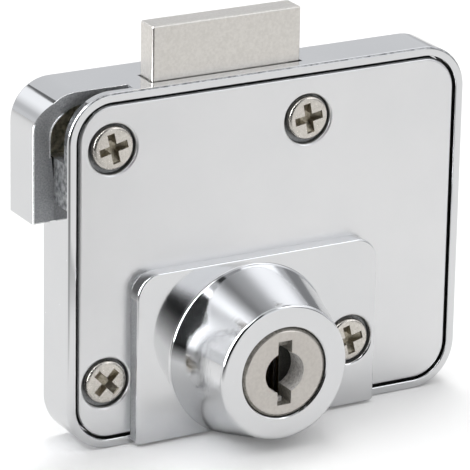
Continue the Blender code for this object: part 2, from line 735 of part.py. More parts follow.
def build_plug(parts, tools):
    """Plug with its keyway, wafer slots, spring pockets, double-D tail and clip groove."""
    profile = [
        (0, PLUG_FRONT_Y),
        (PLUG_HEAD_RADIUS - PLUG_CHAMFER, PLUG_FRONT_Y),
        (PLUG_HEAD_RADIUS, PLUG_FRONT_Y + PLUG_CHAMFER),
        (PLUG_HEAD_RADIUS, SHOULDER_Y),
        (PLUG_RADIUS, SHOULDER_Y),
        (PLUG_RADIUS, PLUG_REAR_Y),
        (TAIL_RADIUS, PLUG_REAR_Y),
        (TAIL_RADIUS, TAIL_END_Y),
        (0, TAIL_END_Y),
    ]
    plug = turned("plug", profile, (0, 0), parts, LARGE_ROUND)
    keyway = block(
        "keyway",
        -KEYWAY_WIDTH / 2,
        KEYWAY_WIDTH / 2,
        PLUG_FRONT_Y - OVERRUN,
        PLUG_REAR_Y - PLUG_REAR_WEB,
        -KEYWAY_HEIGHT / 2,
        KEYWAY_HEIGHT / 2,
        tools,
    )
    keyhole = rod(
        "keyhole",
        KEYHOLE_RADIUS,
        PLUG_FRONT_Y - OVERRUN,
        PLUG_FRONT_Y + KEYHOLE_DEPTH,
        (0, 0),
        tools,
        ROUND,
    )
    cut(plug, keyway, keyhole)
    half = WAFER_WIDTH / 2 + SLOT_GAP
    for index in range(WAFER_COUNT):
        front = wafer_y(index) - WAFER_SLOT / 2
        back = wafer_y(index) + WAFER_SLOT / 2
        high = PLUG_HEAD_RADIUS + OVERRUN
        slot = block(f"wafer_slot_{index + 1}", -half, half, front, back, -high, high, tools)
        pocket = block(
            f"spring_pocket_{index + 1}",
            0,
            EAR_RIGHT + SLOT_GAP,
            front,
            back,
            SPRING_SEAT - SLOT_GAP,
            EAR_BOTTOM + EAR_HEIGHT + WAFER_LIFT + SLOT_GAP,
            tools,
        )
        join(slot, pocket)
        cut(plug, slot)
    for side, name in ((-1, "left"), (1, "right")):
        near = side * TAIL_FLAT
        far = side * (TAIL_RADIUS + OVERRUN)
        flat = block(
            name + "_tail_flat",
            min(near, far),
            max(near, far),
            PLUG_REAR_Y,
            TAIL_END_Y + OVERRUN,
            -TAIL_RADIUS - OVERRUN,
            TAIL_RADIUS + OVERRUN,
            tools,
        )
        cut(plug, flat)
    groove_radius = TAIL_RADIUS - CLIP_GROOVE_DEPTH
    groove_front = CLIP_FRONT_Y - SLOT_GAP
    groove_back = CLIP_BACK_Y + SLOT_GAP / 2
    groove_profile = [
        (groove_radius, groove_front),
        (TAIL_RADIUS + OVERRUN, groove_front),
        (TAIL_RADIUS + OVERRUN, groove_back),
        (groove_radius, groove_back),
    ]
    cut(plug, turned("clip_groove", groove_profile, (0, 0), tools, ROUND, closed=True))
    return plug


def build_wafer(index, parts, tools):
    """Flat wafer with round ends, a spring ear and a window for the key."""
    half = WAFER_WIDTH / 2
    angle = math.degrees(math.acos(half / WAFER_END_RADIUS))
    outline = arc((0, 0), WAFER_END_RADIUS, HALF_TURN + angle, FULL_TURN - angle, CORNER_STEPS)
    outline += [(half, EAR_BOTTOM), (EAR_RIGHT, EAR_BOTTOM)]
    outline += [(EAR_RIGHT, EAR_BOTTOM + EAR_HEIGHT), (half, EAR_BOTTOM + EAR_HEIGHT)]
    outline += arc((0, 0), WAFER_END_RADIUS, angle, HALF_TURN - angle, CORNER_STEPS)
    front = wafer_y(index) - WAFER_THICKNESS / 2
    back = wafer_y(index) + WAFER_THICKNESS / 2
    wafer = slab(f"wafer_{index + 1}", outline, front, back, parts)
    shift = -WAFER_CODE_SHARES[index % len(WAFER_CODE_SHARES)] * WAFER_CODE_STEP
    window = block(
        f"wafer_window_{index + 1}",
        -WAFER_WINDOW_WIDTH / 2,
        WAFER_WINDOW_WIDTH / 2,
        front - OVERRUN,
        back + OVERRUN,
        shift - WAFER_WINDOW_HEIGHT / 2,
        shift + WAFER_WINDOW_HEIGHT / 2,
        tools,
    )
    cut(wafer, window)
    return wafer


def build_spring(index, parts):
    """Compression spring under a wafer's ear."""
    curve = bpy.data.curves.new(f"wafer_spring_{index + 1}", "CURVE")
    curve.dimensions = "3D"
    curve.bevel_depth = SPRING_WIRE_RADIUS
    curve.bevel_resolution = WIRE_BEVEL_RESOLUTION
    curve.use_fill_caps = True
    count = SPRING_TURNS * SPRING_TURN_POINTS
    spline = curve.splines.new("POLY")
    spline.points.add(count)
    rise = SPRING_LENGTH - 2 * SPRING_WIRE_RADIUS
    for i, point in enumerate(spline.points):
        angle = math.radians(FULL_TURN) * i / SPRING_TURN_POINTS
        x = SPRING_X + SPRING_RADIUS * math.cos(angle)
        y = SPRING_RADIUS * math.sin(angle)
        z = SPRING_SEAT + SPRING_WIRE_RADIUS + rise * i / count
        point.co = (x, y, z, 1)
    item = bpy.data.objects.new(f"wafer_spring_{index + 1}", curve)
    bpy.context.scene.collection.objects.link(item)
    item.location = (0, wafer_y(index), 0)
    return mesh_from_curve(item, parts)


def build_cam(parts, tools):
    """Cam disc with its crank pin, driven by the plug's tail."""
    profile = [
        (0, CAM_FRONT_Y),
        (CAM_RADIUS - CAM_FILLET, CAM_FRONT_Y),
        (CAM_RADIUS, CAM_FRONT_Y + CAM_FILLET),
        (CAM_RADIUS, CAM_BACK_Y - CAM_FILLET),
        (CAM_RADIUS - CAM_FILLET, CAM_BACK_Y),
        (0, CAM_BACK_Y),
    ]
    cam = turned("cam", profile, (0, 0), parts)
    pin = rod(
        "crank_pin",
        CRANK_PIN_RADIUS,
        CAM_BACK_Y - BITE,
        BOLT_BACK_Y - PIN_STANDOFF,
        (CRANK_PIN_X, CRANK_PIN_Z),
        tools,
    )
    join(cam, pin)
    outline = double_d_outline(TAIL_RADIUS + SLOT_GAP, TAIL_FLAT + SLOT_GAP)
    hole = slab("cam_square", outline, CAM_FRONT_Y - OVERRUN, CAM_BACK_Y + OVERRUN, tools)
    cut(cam, hole)
    return cam


def turn_about_axis(item, degrees):
    """Turn an object about the cylinder's axis, clockwise seen from the front."""
    bpy.context.view_layer.update()
    item.matrix_world = Matrix.Rotation(math.radians(degrees), 4, "Y") @ item.matrix_world


def build_clip(parts, tools):
    """Open ring in the tail's groove, which keeps the cam on; its mouth clears the crank pin."""
    inner = TAIL_RADIUS - CLIP_GROOVE_DEPTH + SLOT_GAP
    profile = [
        (inner, CLIP_FRONT_Y),
        (CLIP_RADIUS, CLIP_FRONT_Y),
        (CLIP_RADIUS, CLIP_BACK_Y),
        (inner, CLIP_BACK_Y),
    ]
    clip = turned("cam_clip", profile, (0, 0), parts, ROUND, closed=True)
    half_mouth = CRANK_PIN_RADIUS + PIN_GAP
    mouth = block(
        "clip_mouth",
        0,
        CLIP_RADIUS + OVERRUN,
        CLIP_FRONT_Y - OVERRUN,
        CLIP_BACK_Y + OVERRUN,
        -half_mouth,
        half_mouth,
        tools,
    )
    turn_about_axis(mouth, -CRANK_REST_ANGLE)
    cut(clip, mouth)
    return clip


def build_bolt(parts, tools):
    """Bolt: wide head, notch that clears the top right screw, relieved tail and crank slot."""
    outline = [
        (TAIL_LEFT, TAIL_BOTTOM),
        (NOTCH_X, TAIL_BOTTOM),
        (NOTCH_X, NOTCH_TOP),
        (BOLT_RIGHT, NOTCH_TOP),
        (BOLT_RIGHT, BOLT_TOP),
        (BOLT_LEFT, BOLT_TOP),
        (BOLT_LEFT, HEAD_BOTTOM),
        (TAIL_LEFT, HEAD_BOTTOM),
    ]
    bolt = slab("bolt", outline, BOLT_FRONT_Y, BOLT_BACK_Y, parts)
    soften(bolt, BOLT_FILLET)
    relief = block(
        "tail_relief",
        TAIL_LEFT - OVERRUN,
        NOTCH_X + OVERRUN,
        BOLT_FRONT_Y - OVERRUN,
        BOLT_FRONT_Y + BOLT_RELIEF,
        TAIL_BOTTOM - OVERRUN,
        RELIEF_TOP,
        tools,
    )
    slot = block(
        "crank_slot",
        CRANK_PIN_X - SLOT_HALF_HEIGHT,
        CRANK_RADIUS + SLOT_HALF_HEIGHT,
        BOLT_FRONT_Y - OVERRUN,
        BOLT_BACK_Y + OVERRUN,
        CRANK_PIN_Z - SLOT_HALF_HEIGHT,
        CRANK_PIN_Z + SLOT_HALF_HEIGHT,
        tools,
    )
    cut(bolt, relief, slot)
    return bolt


def build_screw(name, centre, seat_y, length, roll, parts, tools):
    """Pan-head screw with a cross recess; its origin is on its axis, under the head."""
    dome_centre = SCREW_HEAD_RADIUS - SCREW_HEAD_DOME
    top = -SCREW_HEAD_HEIGHT
    profile = [(0, top)]
    dome = (dome_centre, top + SCREW_HEAD_DOME)
    profile += arc(dome, SCREW_HEAD_DOME, -QUARTER_TURN, 0, SMALL_STEPS)
    profile += [(SCREW_HEAD_RADIUS, 0), (SCREW_RADIUS, 0)]
    profile += [(SCREW_RADIUS, length - SCREW_TIP_CHAMFER)]
    profile += [(SCREW_RADIUS - SCREW_TIP_CHAMFER, length), (0, length)]
    screw = turned(name, profile, (0, 0), parts, SMALL_ROUND)
    arms = []
    for label, wide, high in (("a", CROSS_SPAN, CROSS_ARM), ("b", CROSS_ARM, CROSS_SPAN)):
        arm = block(
            f"{name}_cross_{label}",
            -wide / 2,
            wide / 2,
            top - OVERRUN,
            top + CROSS_DEPTH,
            -high / 2,
            high / 2,
            tools,
        )
        arms.append(arm)
    cut(screw, *arms)
    carrier = bpy.data.objects.new(name + "_place", None)
    parts.objects.link(carrier)
    for item in (screw, *arms):
        item.parent = carrier
    carrier.location = (centre[0], seat_y, centre[1])
    carrier.rotation_euler = (0, math.radians(roll), 0)
    return screw


def carry(name, location, items, parts):
    """Parent a moving group to an empty on its joint's axis, without moving the pieces."""
    empty = bpy.data.objects.new(name, None)
    empty.location = location
    parts.objects.link(empty)
    bpy.context.view_layer.update()
    for item in items:
        item.parent = empty
        item.matrix_parent_inverse = empty.matrix_world.inverted()


def main():
    """Build the lock."""
    clear_scene()
    parts = new_collection("glass_showcase_lock")
    tools = new_collection("cutters")

    case = build_case(parts, tools)
    plate = build_cover_plate(parts, tools)
    housing = build_housing(parts, tools)
    plug = build_plug(parts, tools)
    cam = build_cam(parts, tools)
    clip = build_clip(parts, tools)
    bolt = build_bolt(parts, tools)
    wafers = [build_wafer(index, parts, tools) for index in range(WAFER_COUNT)]
    springs = [build_spring(index, parts) for index in range(WAFER_COUNT)]
    screws = []
    cover_screws = (
        ("cover_screw_top_left", TOP_LEFT_SCREW, TOP_LEFT_SCREW_ROLL),
        ("cover_screw_top_right", TOP_RIGHT_SCREW, TOP_RIGHT_SCREW_ROLL),
        ("cover_screw_bottom_left", BOTTOM_LEFT_SCREW, BOTTOM_LEFT_SCREW_ROLL),
    )
    for name, centre, roll in cover_screws:
        screws.append(
            build_screw(name, centre, COVER_SCREW_SEAT_Y, COVER_SCREW_LENGTH, roll, parts, tools)
        )
    screws.append(
        build_screw(
            "flange_screw",
            FLANGE_SCREW,
            FLANGE_SCREW_SEAT_Y,
            FLANGE_SCREW_LENGTH,
            FLANGE_SCREW_ROLL,
            parts,
            tools,
        )
    )

    finishes = (
        (CHROME, (case, plate, housing)),
        (NICKEL, (bolt, plug, *screws)),
        (STEEL, (cam, clip, *springs)),
        (BRASS, wafers),
    )
    for (colour, roughness), items in finishes:
        for item in items:
            item.data.materials.clear()
            item.data.materials.append(metal(item.name, colour, roughness))
            shade(item)

    carry("plug_axis", (0, NOSE_FRONT_Y, 0), [plug, cam, clip, *springs], parts)
    for index, wafer in enumerate(wafers):
        carry(f"wafer_{index + 1}_slide", (0, wafer_y(index), 0), [wafer], parts)
    bolt_centre = ((BOLT_LEFT + BOLT_RIGHT) / 2, (BOLT_FRONT_Y + BOLT_BACK_Y) / 2, CASE_TOP)
    carry("bolt_slide", bolt_centre, [bolt], parts)


main()
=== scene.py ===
"""Glass showcase lock, dressed for its studio picture.

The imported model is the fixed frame. Every visible piece is modelled here again with its real
fillets, seats and recesses, in millimetres, and is then scaled to metres. Seen from the front, +X is
to the right, +Z is up and the front faces -Y. The zero point is on the case's back face, behind the
axis of the cylinder.
"""
import logging
import math
from dataclasses import dataclass, field, replace
from enum import Enum, IntEnum
from typing import Any, Callable, Iterable, Sequence

import bmesh
import bpy
from bmesh.types import BMesh, BMEdge, BMFace, BMVert
from mathutils import Matrix, Vector


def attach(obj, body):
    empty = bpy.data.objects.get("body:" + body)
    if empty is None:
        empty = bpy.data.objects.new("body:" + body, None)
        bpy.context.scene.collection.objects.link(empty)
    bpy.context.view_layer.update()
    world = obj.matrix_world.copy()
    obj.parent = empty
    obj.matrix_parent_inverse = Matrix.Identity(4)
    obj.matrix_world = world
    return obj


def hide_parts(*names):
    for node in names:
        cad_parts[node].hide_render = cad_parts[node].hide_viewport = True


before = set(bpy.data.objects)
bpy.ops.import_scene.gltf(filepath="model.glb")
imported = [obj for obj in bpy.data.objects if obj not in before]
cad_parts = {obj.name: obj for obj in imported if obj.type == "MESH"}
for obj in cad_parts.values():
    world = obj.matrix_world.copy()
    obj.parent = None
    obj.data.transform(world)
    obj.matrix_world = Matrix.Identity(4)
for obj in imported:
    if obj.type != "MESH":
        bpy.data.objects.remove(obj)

LOG = logging.getLogger("showcase_lock")

# Metres in a millimetre
MM = 0.001
# Millimetres: planes that count as one, points that merge, how far a tool stays off a face whose
# plane it would share, how far it runs past what it cuts, and how far a block runs into what it joins
NEAR = 0.0001
WELD = 0.00001
APART = 0.002
PAST = 1.0
OVERLAP = 0.2
# Angle from which an edge shows as sharp, and the profile of every bevel
SHARP = math.radians(28.0)
PROFILE = 0.5
# Share of a face's normal along an axis: below STEEP the face runs along it, above FLAT across it
STEEP = 0.5
FLAT = 0.9

Item = bpy.types.Object
Material = bpy.types.Material
Socket = bpy.types.NodeSocket
Tree = bpy.types.NodeTree
Point = tuple[float, float]
Profile = list[Point]
Tint = tuple[float, float, float]


class Body(Enum):
    """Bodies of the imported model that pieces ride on."""

    CASE = "lock_case"
    PLUG = "key_plug"
    BOLT = "slide_bolt"


class Slot(Enum):
    """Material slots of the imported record."""

    CASE = "chrome_case"
    COVER = "chrome_cover"
    HOUSING = "chrome_housing"
    PLUG = "nickel_plug"
    BOLT = "nickel_bolt"
    SCREW = "nickel_screw"


class Cut(Enum):
    """What a tool solid does to the solid it meets."""

    ADD = "UNION"
    REMOVE = "DIFFERENCE"


class Grain(Enum):
    """Direction of the fine lines that a finish is rubbed in."""

    EVEN = (1.0, 1.0, 1.0)
    UPRIGHT = (1.0, 1.0, 0.06)
    LEVEL = (0.06, 1.0, 1.0)
    ROUND = (0.05, 1.0, 0.05)


# Shapes, in millimetres


@dataclass(frozen=True)
class Span:
    """Box between six planes, in millimetres."""

    left: float
    right: float
    front: float
    back: float
    bottom: float
    top: float

    def shape(self) -> BMesh:
        """Model the box.

        Returns:
            A new bmesh that holds the box.
        """
        work = bmesh.new()
        size = (self.right - self.left, self.back - self.front, self.top - self.bottom, 1.0)
        centre = Vector((self.left + self.right, self.front + self.back, self.bottom + self.top)) / 2
        place = Matrix.Translation(centre) @ Matrix.Diagonal(size)
        bmesh.ops.create_cube(work, size=1.0, matrix=place)
        return work

    def along(self, y: float) -> "Span":
        """Give the same box, moved back by y."""
        return replace(self, front=self.front + y, back=self.back + y)


def arc(centre: Point, radius: float, start: float, end: float, steps: int) -> Profile:
    """List the points of an arc.

    Args:
        centre: Centre of the arc, as (first, second) coordinates.
        radius: Radius in millimetres.
        start: First angle in degrees, from the first axis.
        end: Last angle in degrees.
        steps: Number of chords.

    Returns:
        The points from start to end.
    """
    points = []
    for i in range(steps + 1):
        angle = math.radians(start + (end - start) * i / steps)
        points.append((centre[0] + radius * math.cos(angle), centre[1] + radius * math.sin(angle)))
    return points


def turned(profile: Profile, centre: Point, steps: int) -> BMesh:
    """Turn a profile about an axis along Y.

    Args:
        profile: Points as (radius, y), in order.
        centre: The axis, as (x, z).
        steps: Number of facets round the axis.

    Returns:
        A new bmesh that holds the turned solid.
    """
    work = bmesh.new()
    verts = [work.verts.new((centre[0] + radius, y, centre[1])) for radius, y in profile]
    edges = [work.edges.new(pair) for pair in zip(verts, verts[1:])]
    bmesh.ops.spin(
        work,
        geom=[*verts, *edges],
        cent=(centre[0], 0.0, centre[1]),
        axis=(0.0, 1.0, 0.0),
        dvec=(0.0, 0.0, 0.0),
        angle=math.tau,
        steps=steps,
        use_merge=True,
        use_duplicate=False,
    )
    bmesh.ops.remove_doubles(work, verts=work.verts, dist=WELD)
    bmesh.ops.dissolve_degenerate(work, dist=WELD, edges=work.edges)
    bmesh.ops.recalc_face_normals(work, faces=work.faces)
    return work


def rod(radius: float, front: float, back: float, centre: Point, steps: int) -> BMesh:
    """Turn a plain round rod along Y.

    Args:
        radius: Its radius.
        front: Its front plane.
        back: Its back plane.
        centre: Its axis, as (x, z).
        steps: Number of facets round the axis.

    Returns:
        A new bmesh that holds the rod.
    """
    return turned([(0.0, front), (radius, front), (radius, back), (0.0, back)], centre, steps)


def extruded(work: BMesh, face: BMFace, depth: float) -> list[Any]:
    """Extrude a face along Y.

    Args:
        work: The mesh that is changed.
        face: The face, which stays where it is.
        depth: Distance towards +Y.

    Returns:
        The new vertices, edges and faces.
    """
    made = bmesh.ops.extrude_face_region(work, geom=[face])["geom"]
    moved = [item for item in made if isinstance(item, BMVert)]
    bmesh.ops.translate(work, verts=moved, vec=(0.0, depth, 0.0))
    return made


def prism(outline: Sequence[Point], front: float, back: float) -> BMesh:
    """Extrude a flat outline along Y.

    Args:
        outline: Corner points as (x, z).
        front: Front plane.
        back: Back plane.

    Returns:
        A new bmesh that holds the prism.
    """
    work = bmesh.new()
    face = work.faces.new([work.verts.new((x, front, z)) for x, z in outline])
    extruded(work, face, back - front)
    bmesh.ops.recalc_face_normals(work, faces=work.faces)
    return work


def bevel(work: BMesh, edges: Iterable[BMEdge], width: float, segments: int) -> None:
    """Round some edges.

    Args:
        work: The mesh that is changed.
        edges: Edges to round.
        width: Distance from the edge at which the round starts.
        segments: Number of facets across the round.
    """
    bmesh.ops.bevel(
        work,
        geom=list(edges),
        offset=width,
        offset_type="OFFSET",
        affect="EDGES",
        segments=segments,
        profile=PROFILE,
        material=-1,
        clamp_overlap=True,
    )


def round_upright(
    work: BMesh, radius: float, segments: int, near: Callable[[float, float], bool] | None = None
) -> None:
    """Round the edges that run along Y.

    Args:
        work: The mesh that is changed.
        radius: Radius of the corners.
        segments: Number of facets in each corner.
        near: Test of an edge's x and z, or None for all of them.
    """
    chosen = []
    for edge in work.edges:
        first, second = (vert.co for vert in edge.verts)
        along = abs(first.x - second.x) < NEAR and abs(first.z - second.z) < NEAR
        if along and (near is None or near(first.x, first.z)):
            chosen.append(edge)
    bevel(work, chosen, radius, segments)


def round_rim(
    work: BMesh, y: float, width: float, segments: int, near: Callable[[Vector], bool] | None = None
) -> None:
    """Round the sharp edges that lie in one y plane.

    Args:
        work: The mesh that is changed.
        y: The plane.
        width: Width of the round.
        segments: Number of facets across it.
        near: Test of an edge's middle point, or None for all of them.
    """
    chosen = []
    for edge in work.edges:
        first, second = (vert.co for vert in edge.verts)
        level = abs(first.y - y) < NEAR and abs(second.y - y) < NEAR
        if not level or len(edge.link_faces) != 2 or edge.calc_face_angle() < SHARP:
            continue
        if near is None or near((first + second) / 2):
            chosen.append(edge)
    bevel(work, chosen, width, segments)


def flat_face(work: BMesh, y: float) -> BMFace:
    """Find the largest face that lies in one y plane."""
    flat = [face for face in work.faces if all(abs(vert.co.y - y) < NEAR for vert in face.verts)]
    return max(flat, key=lambda face: face.calc_area())


def inset(work: BMesh, face: BMFace, width: float) -> None:
    """Draw a face in from its border by a width."""
    bmesh.ops.inset_region(
        work, faces=[face], thickness=width, depth=0.0, use_boundary=True, use_even_offset=True
    )


def sink(work: BMesh, face: BMFace, depth: float) -> list[BMFace]:
    """Push a flat face back along Y, with walls behind its border.

    Args:
        work: The mesh that is changed.
        face: The face that is pushed.
        depth: Distance towards +Y.

    Returns:
        The new faces, walls and floor.
    """
    floor = [item for item in extruded(work, face, depth) if isinstance(item, BMFace)]
    if face.is_valid:
        bmesh.ops.delete(work, geom=[face], context="FACES_ONLY")
    walls = {near for part in floor for edge in part.edges for near in edge.link_faces}
    return list(walls | set(floor))


def slice_at(
    work: BMesh, point: Sequence[float], normal: Sequence[float], clear: bool = False
) -> list[BMEdge]:
    """Cut the faces that cross a plane.

    Args:
        work: The mesh that is changed.
        point: A point of the plane.
        normal: The plane's normal.
        clear: Whether what lies on the normal's side goes.

    Returns:
        The edges in the plane.
    """
    everything = [*work.verts, *work.edges, *work.faces]
    cut = bmesh.ops.bisect_plane(work, geom=everything, plane_co=point, plane_no=normal, clear_outer=clear)
    return [item for item in cut["geom_cut"] if isinstance(item, BMEdge)]


def halve(work: BMesh, point: Sequence[float], normal: Sequence[float]) -> None:
    """Cut off what lies beyond a plane, and close the cut."""
    bmesh.ops.contextual_create(work, geom=slice_at(work, point, normal, clear=True))
    bmesh.ops.recalc_face_normals(work, faces=work.faces)


def from_axis(point: Vector, centre: Point = (0.0, 0.0)) -> float:
    """Measure how far a point is from an axis along Y."""
    return math.hypot(point.x - centre[0], point.z - centre[1])


def moved_to(work: BMesh, place: Matrix) -> BMesh:
    """Put a tool in its place and give it back."""
    bmesh.ops.transform(work, matrix=place, verts=work.verts)
    return work


@dataclass
class Step:
    """One tool solid that is added to a piece or removed from it."""

    cut: Cut
    shape: BMesh
    finish: Material | None = None


def working_object(name: str, work: BMesh, finishes: Sequence[Material]) -> Item:
    """Put a bmesh in the scene as an object.

    Args:
        name: Name of the object.
        work: The bmesh, which is freed.
        finishes: Materials of its slots.

    Returns:
        The object.
    """
    mesh = bpy.data.meshes.new(name)
    for finish in finishes:
        mesh.materials.append(finish)
    work.to_mesh(mesh)
    work.free()
    item = bpy.data.objects.new(name, mesh)
    bpy.context.scene.collection.objects.link(item)
    return item


def carve(name: str, base: BMesh, finishes: Sequence[Material], steps: Sequence[Step]) -> BMesh:
    """Work a solid with tool solids.

    Args:
        name: Name of the piece.
        base: The solid that is worked, which is freed.
        finishes: Materials of the base's slots.
        steps: The tools, in order.

    Returns:
        The worked solid. Its faces keep the slot numbers of the finishes, and a tool's faces take
        the number of the tool's own finish.
    """
    item = working_object(name, base, finishes)
    tools = []
    for number, step in enumerate(steps):
        own = [step.finish or finishes[0]]
        tool = working_object(f"{name}_tool_{number}", step.shape, own)
        change = item.modifiers.new(tool.name, "BOOLEAN")
        change.operation = step.cut.value
        change.solver = "EXACT"
        change.material_mode = "TRANSFER"
        change.object = tool
        tools.append(tool)
    bpy.context.view_layer.update()
    result = bpy.data.meshes.new_from_object(item.evaluated_get(bpy.context.evaluated_depsgraph_get()))
    order = [finishes.index(made) if made in finishes else 0 for made in result.materials] or [0]
    work = bmesh.new()
    work.from_mesh(result)
    for face in work.faces:
        face.material_index = order[face.material_index]
    for old in (item, *tools):
        mesh = old.data
        bpy.data.objects.remove(old)
        bpy.data.meshes.remove(mesh)
    bpy.data.meshes.remove(result)
    bmesh.ops.remove_doubles(work, verts=work.verts, dist=WELD)
    return work


def finish_piece(
    name: str,
    work: BMesh,
    finishes: Sequence[Material],
    body: Body,
    node: str,
) -> Item:
    """Turn a modelled solid into a finished piece that stands for a CAD node.

    Args:
        name: Name of the piece.
        work: The solid in millimetres, which is freed.
        finishes: Materials of its slots.
        body: Body that the piece rides on.
        node: CAD node that it stands for.

    Returns:
        The piece.
    """
    bmesh.ops.scale(work, verts=work.verts, vec=(MM, MM, MM))
    piece = working_object(name, work, finishes)
    piece.data.shade_smooth()
    piece.data.set_sharp_from_angle(angle=SHARP)
    level = piece.modifiers.new("Level flats", "WEIGHTED_NORMAL")
    level.mode = "FACE_AREA"
    level.weight = 100
    level.keep_sharp = True
    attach(piece, body.value)
    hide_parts(node)
    LOG.info("%s: %d faces, rides on %s", name, len(piece.data.polygons), body.value)
    return piece


# Finishes


def colour(tint: Tint) -> tuple[float, float, float, float]:
    """Add full opacity to a colour."""
    return (*tint, 1.0)


WHITE = colour((1.0, 1.0, 1.0))
BLACK = colour((0.0, 0.0, 0.0))


class Graph:
    """Short way to lay and link shader nodes in one tree."""

    def __init__(self, tree: Tree) -> None:
        """Keep the tree that nodes are laid in."""
        self.tree = tree

    def feed(self, socket: Socket, value: Any) -> None:
        """Link a socket to an input, or set the input's value.

        Args:
            socket: The input.
            value: An output socket, or a value.
        """
        if isinstance(value, Socket):
            self.tree.links.new(value, socket)
        else:
            socket.default_value = value

    def lay(self, kind: str, inputs: dict[Any, Any] | None = None, **settings: Any) -> bpy.types.Node:
        """Lay one node.

        Args:
            kind: Node type, without its ShaderNode prefix.
            inputs: Values or sockets by input name or number.
            **settings: Properties of the node, which are set first.

        Returns:
            The node.
        """
        node = self.tree.nodes.new("ShaderNode" + kind)
        for key, value in settings.items():
            setattr(node, key, value)
        for key, value in (inputs or {}).items():
            self.feed(node.inputs[key], value)
        return node

    def place(self, group: Tree, inputs: dict[str, Any]) -> Socket:
        """Lay a shared group with its own values and give its one output."""
        return self.lay("Group", inputs, node_tree=group).outputs[0]

    def spot(self) -> Socket:
        """Lay the coordinates of the piece itself."""
        return self.lay("TexCoord").outputs["Object"]

    def math(self, operation: str, *values: Any) -> Socket:
        """Lay a Math node and give its result."""
        return self.lay("Math", dict(enumerate(values)), operation=operation).outputs[0]

    def spread(
        self, value: Any, low: float, high: float, to_low: float = 0.0, to_high: float = 1.0
    ) -> Socket:
        """Map a value from one range to another, held at both ends."""
        inputs = {"Value": value, "From Min": low, "From Max": high, "To Min": to_low, "To Max": to_high}
        return self.lay("MapRange", inputs, clamp=True).outputs["Result"]

    def blend(self, share: Any, first: Any, second: Any) -> Socket:
        """Mix two colours."""
        return self.lay("Mix", {0: share, 6: first, 7: second}, data_type="RGBA").outputs[2]

    def noise(self, place: Any, scale: Any, detail: Any, **more: float) -> Socket:
        """Lay a Noise Texture, with any more inputs by name, and give its value."""
        inputs = {"Vector": place, "Scale": scale, "Detail": detail, **more}
        return self.lay("TexNoise", inputs).outputs[0]

    def bump(
        self, strength: float, distance: float, height: Socket, **under: Socket
    ) -> Socket:
        """Lay a Bump node, over the Normal of another where one is given, and give its normal."""
        inputs = {"Strength": strength, "Distance": distance, "Height": height, **under}
        return self.lay("Bump", inputs).outputs[0]


class Kind(Enum):
    """Kinds of sockets in a node group."""

    NUMBER = "NodeSocketFloat"
    VECTOR = "NodeSocketVector"
    COLOUR = "NodeSocketColor"


class Group(Graph):
    """Graph of a shared node group, with named inputs and one output."""

    def __init__(self, name: str, inputs: dict[str, Any], output: str, kind: Kind = Kind.NUMBER) -> None:
        """Open the group.

        Args:
            name: Name of the group.
            inputs: Default values by input name; 3 numbers make a vector and 4 a colour.
            output: Name of its one output.
            kind: Kind of that output.
        """
        super().__init__(bpy.data.node_groups.new(name, "ShaderNodeTree"))
        kinds = {1: Kind.NUMBER, 3: Kind.VECTOR, 4: Kind.COLOUR}
        sockets = self.tree.interface
        for label, value in inputs.items():
            fitting = kinds[len(value) if isinstance(value, tuple) else 1]
            made = sockets.new_socket(name=label, in_out="INPUT", socket_type=fitting.value)
            made.default_value = value
        sockets.new_socket(name=output, in_out="OUTPUT", socket_type=kind.value)
        self.given = self.tree.nodes.new("NodeGroupInput").outputs
        self.end = self.tree.nodes.new("NodeGroupOutput")

    def ended(self, value: Socket) -> Tree:
        """Feed the group's output and give the group."""
        self.feed(self.end.inputs[0], value)
        return self.tree


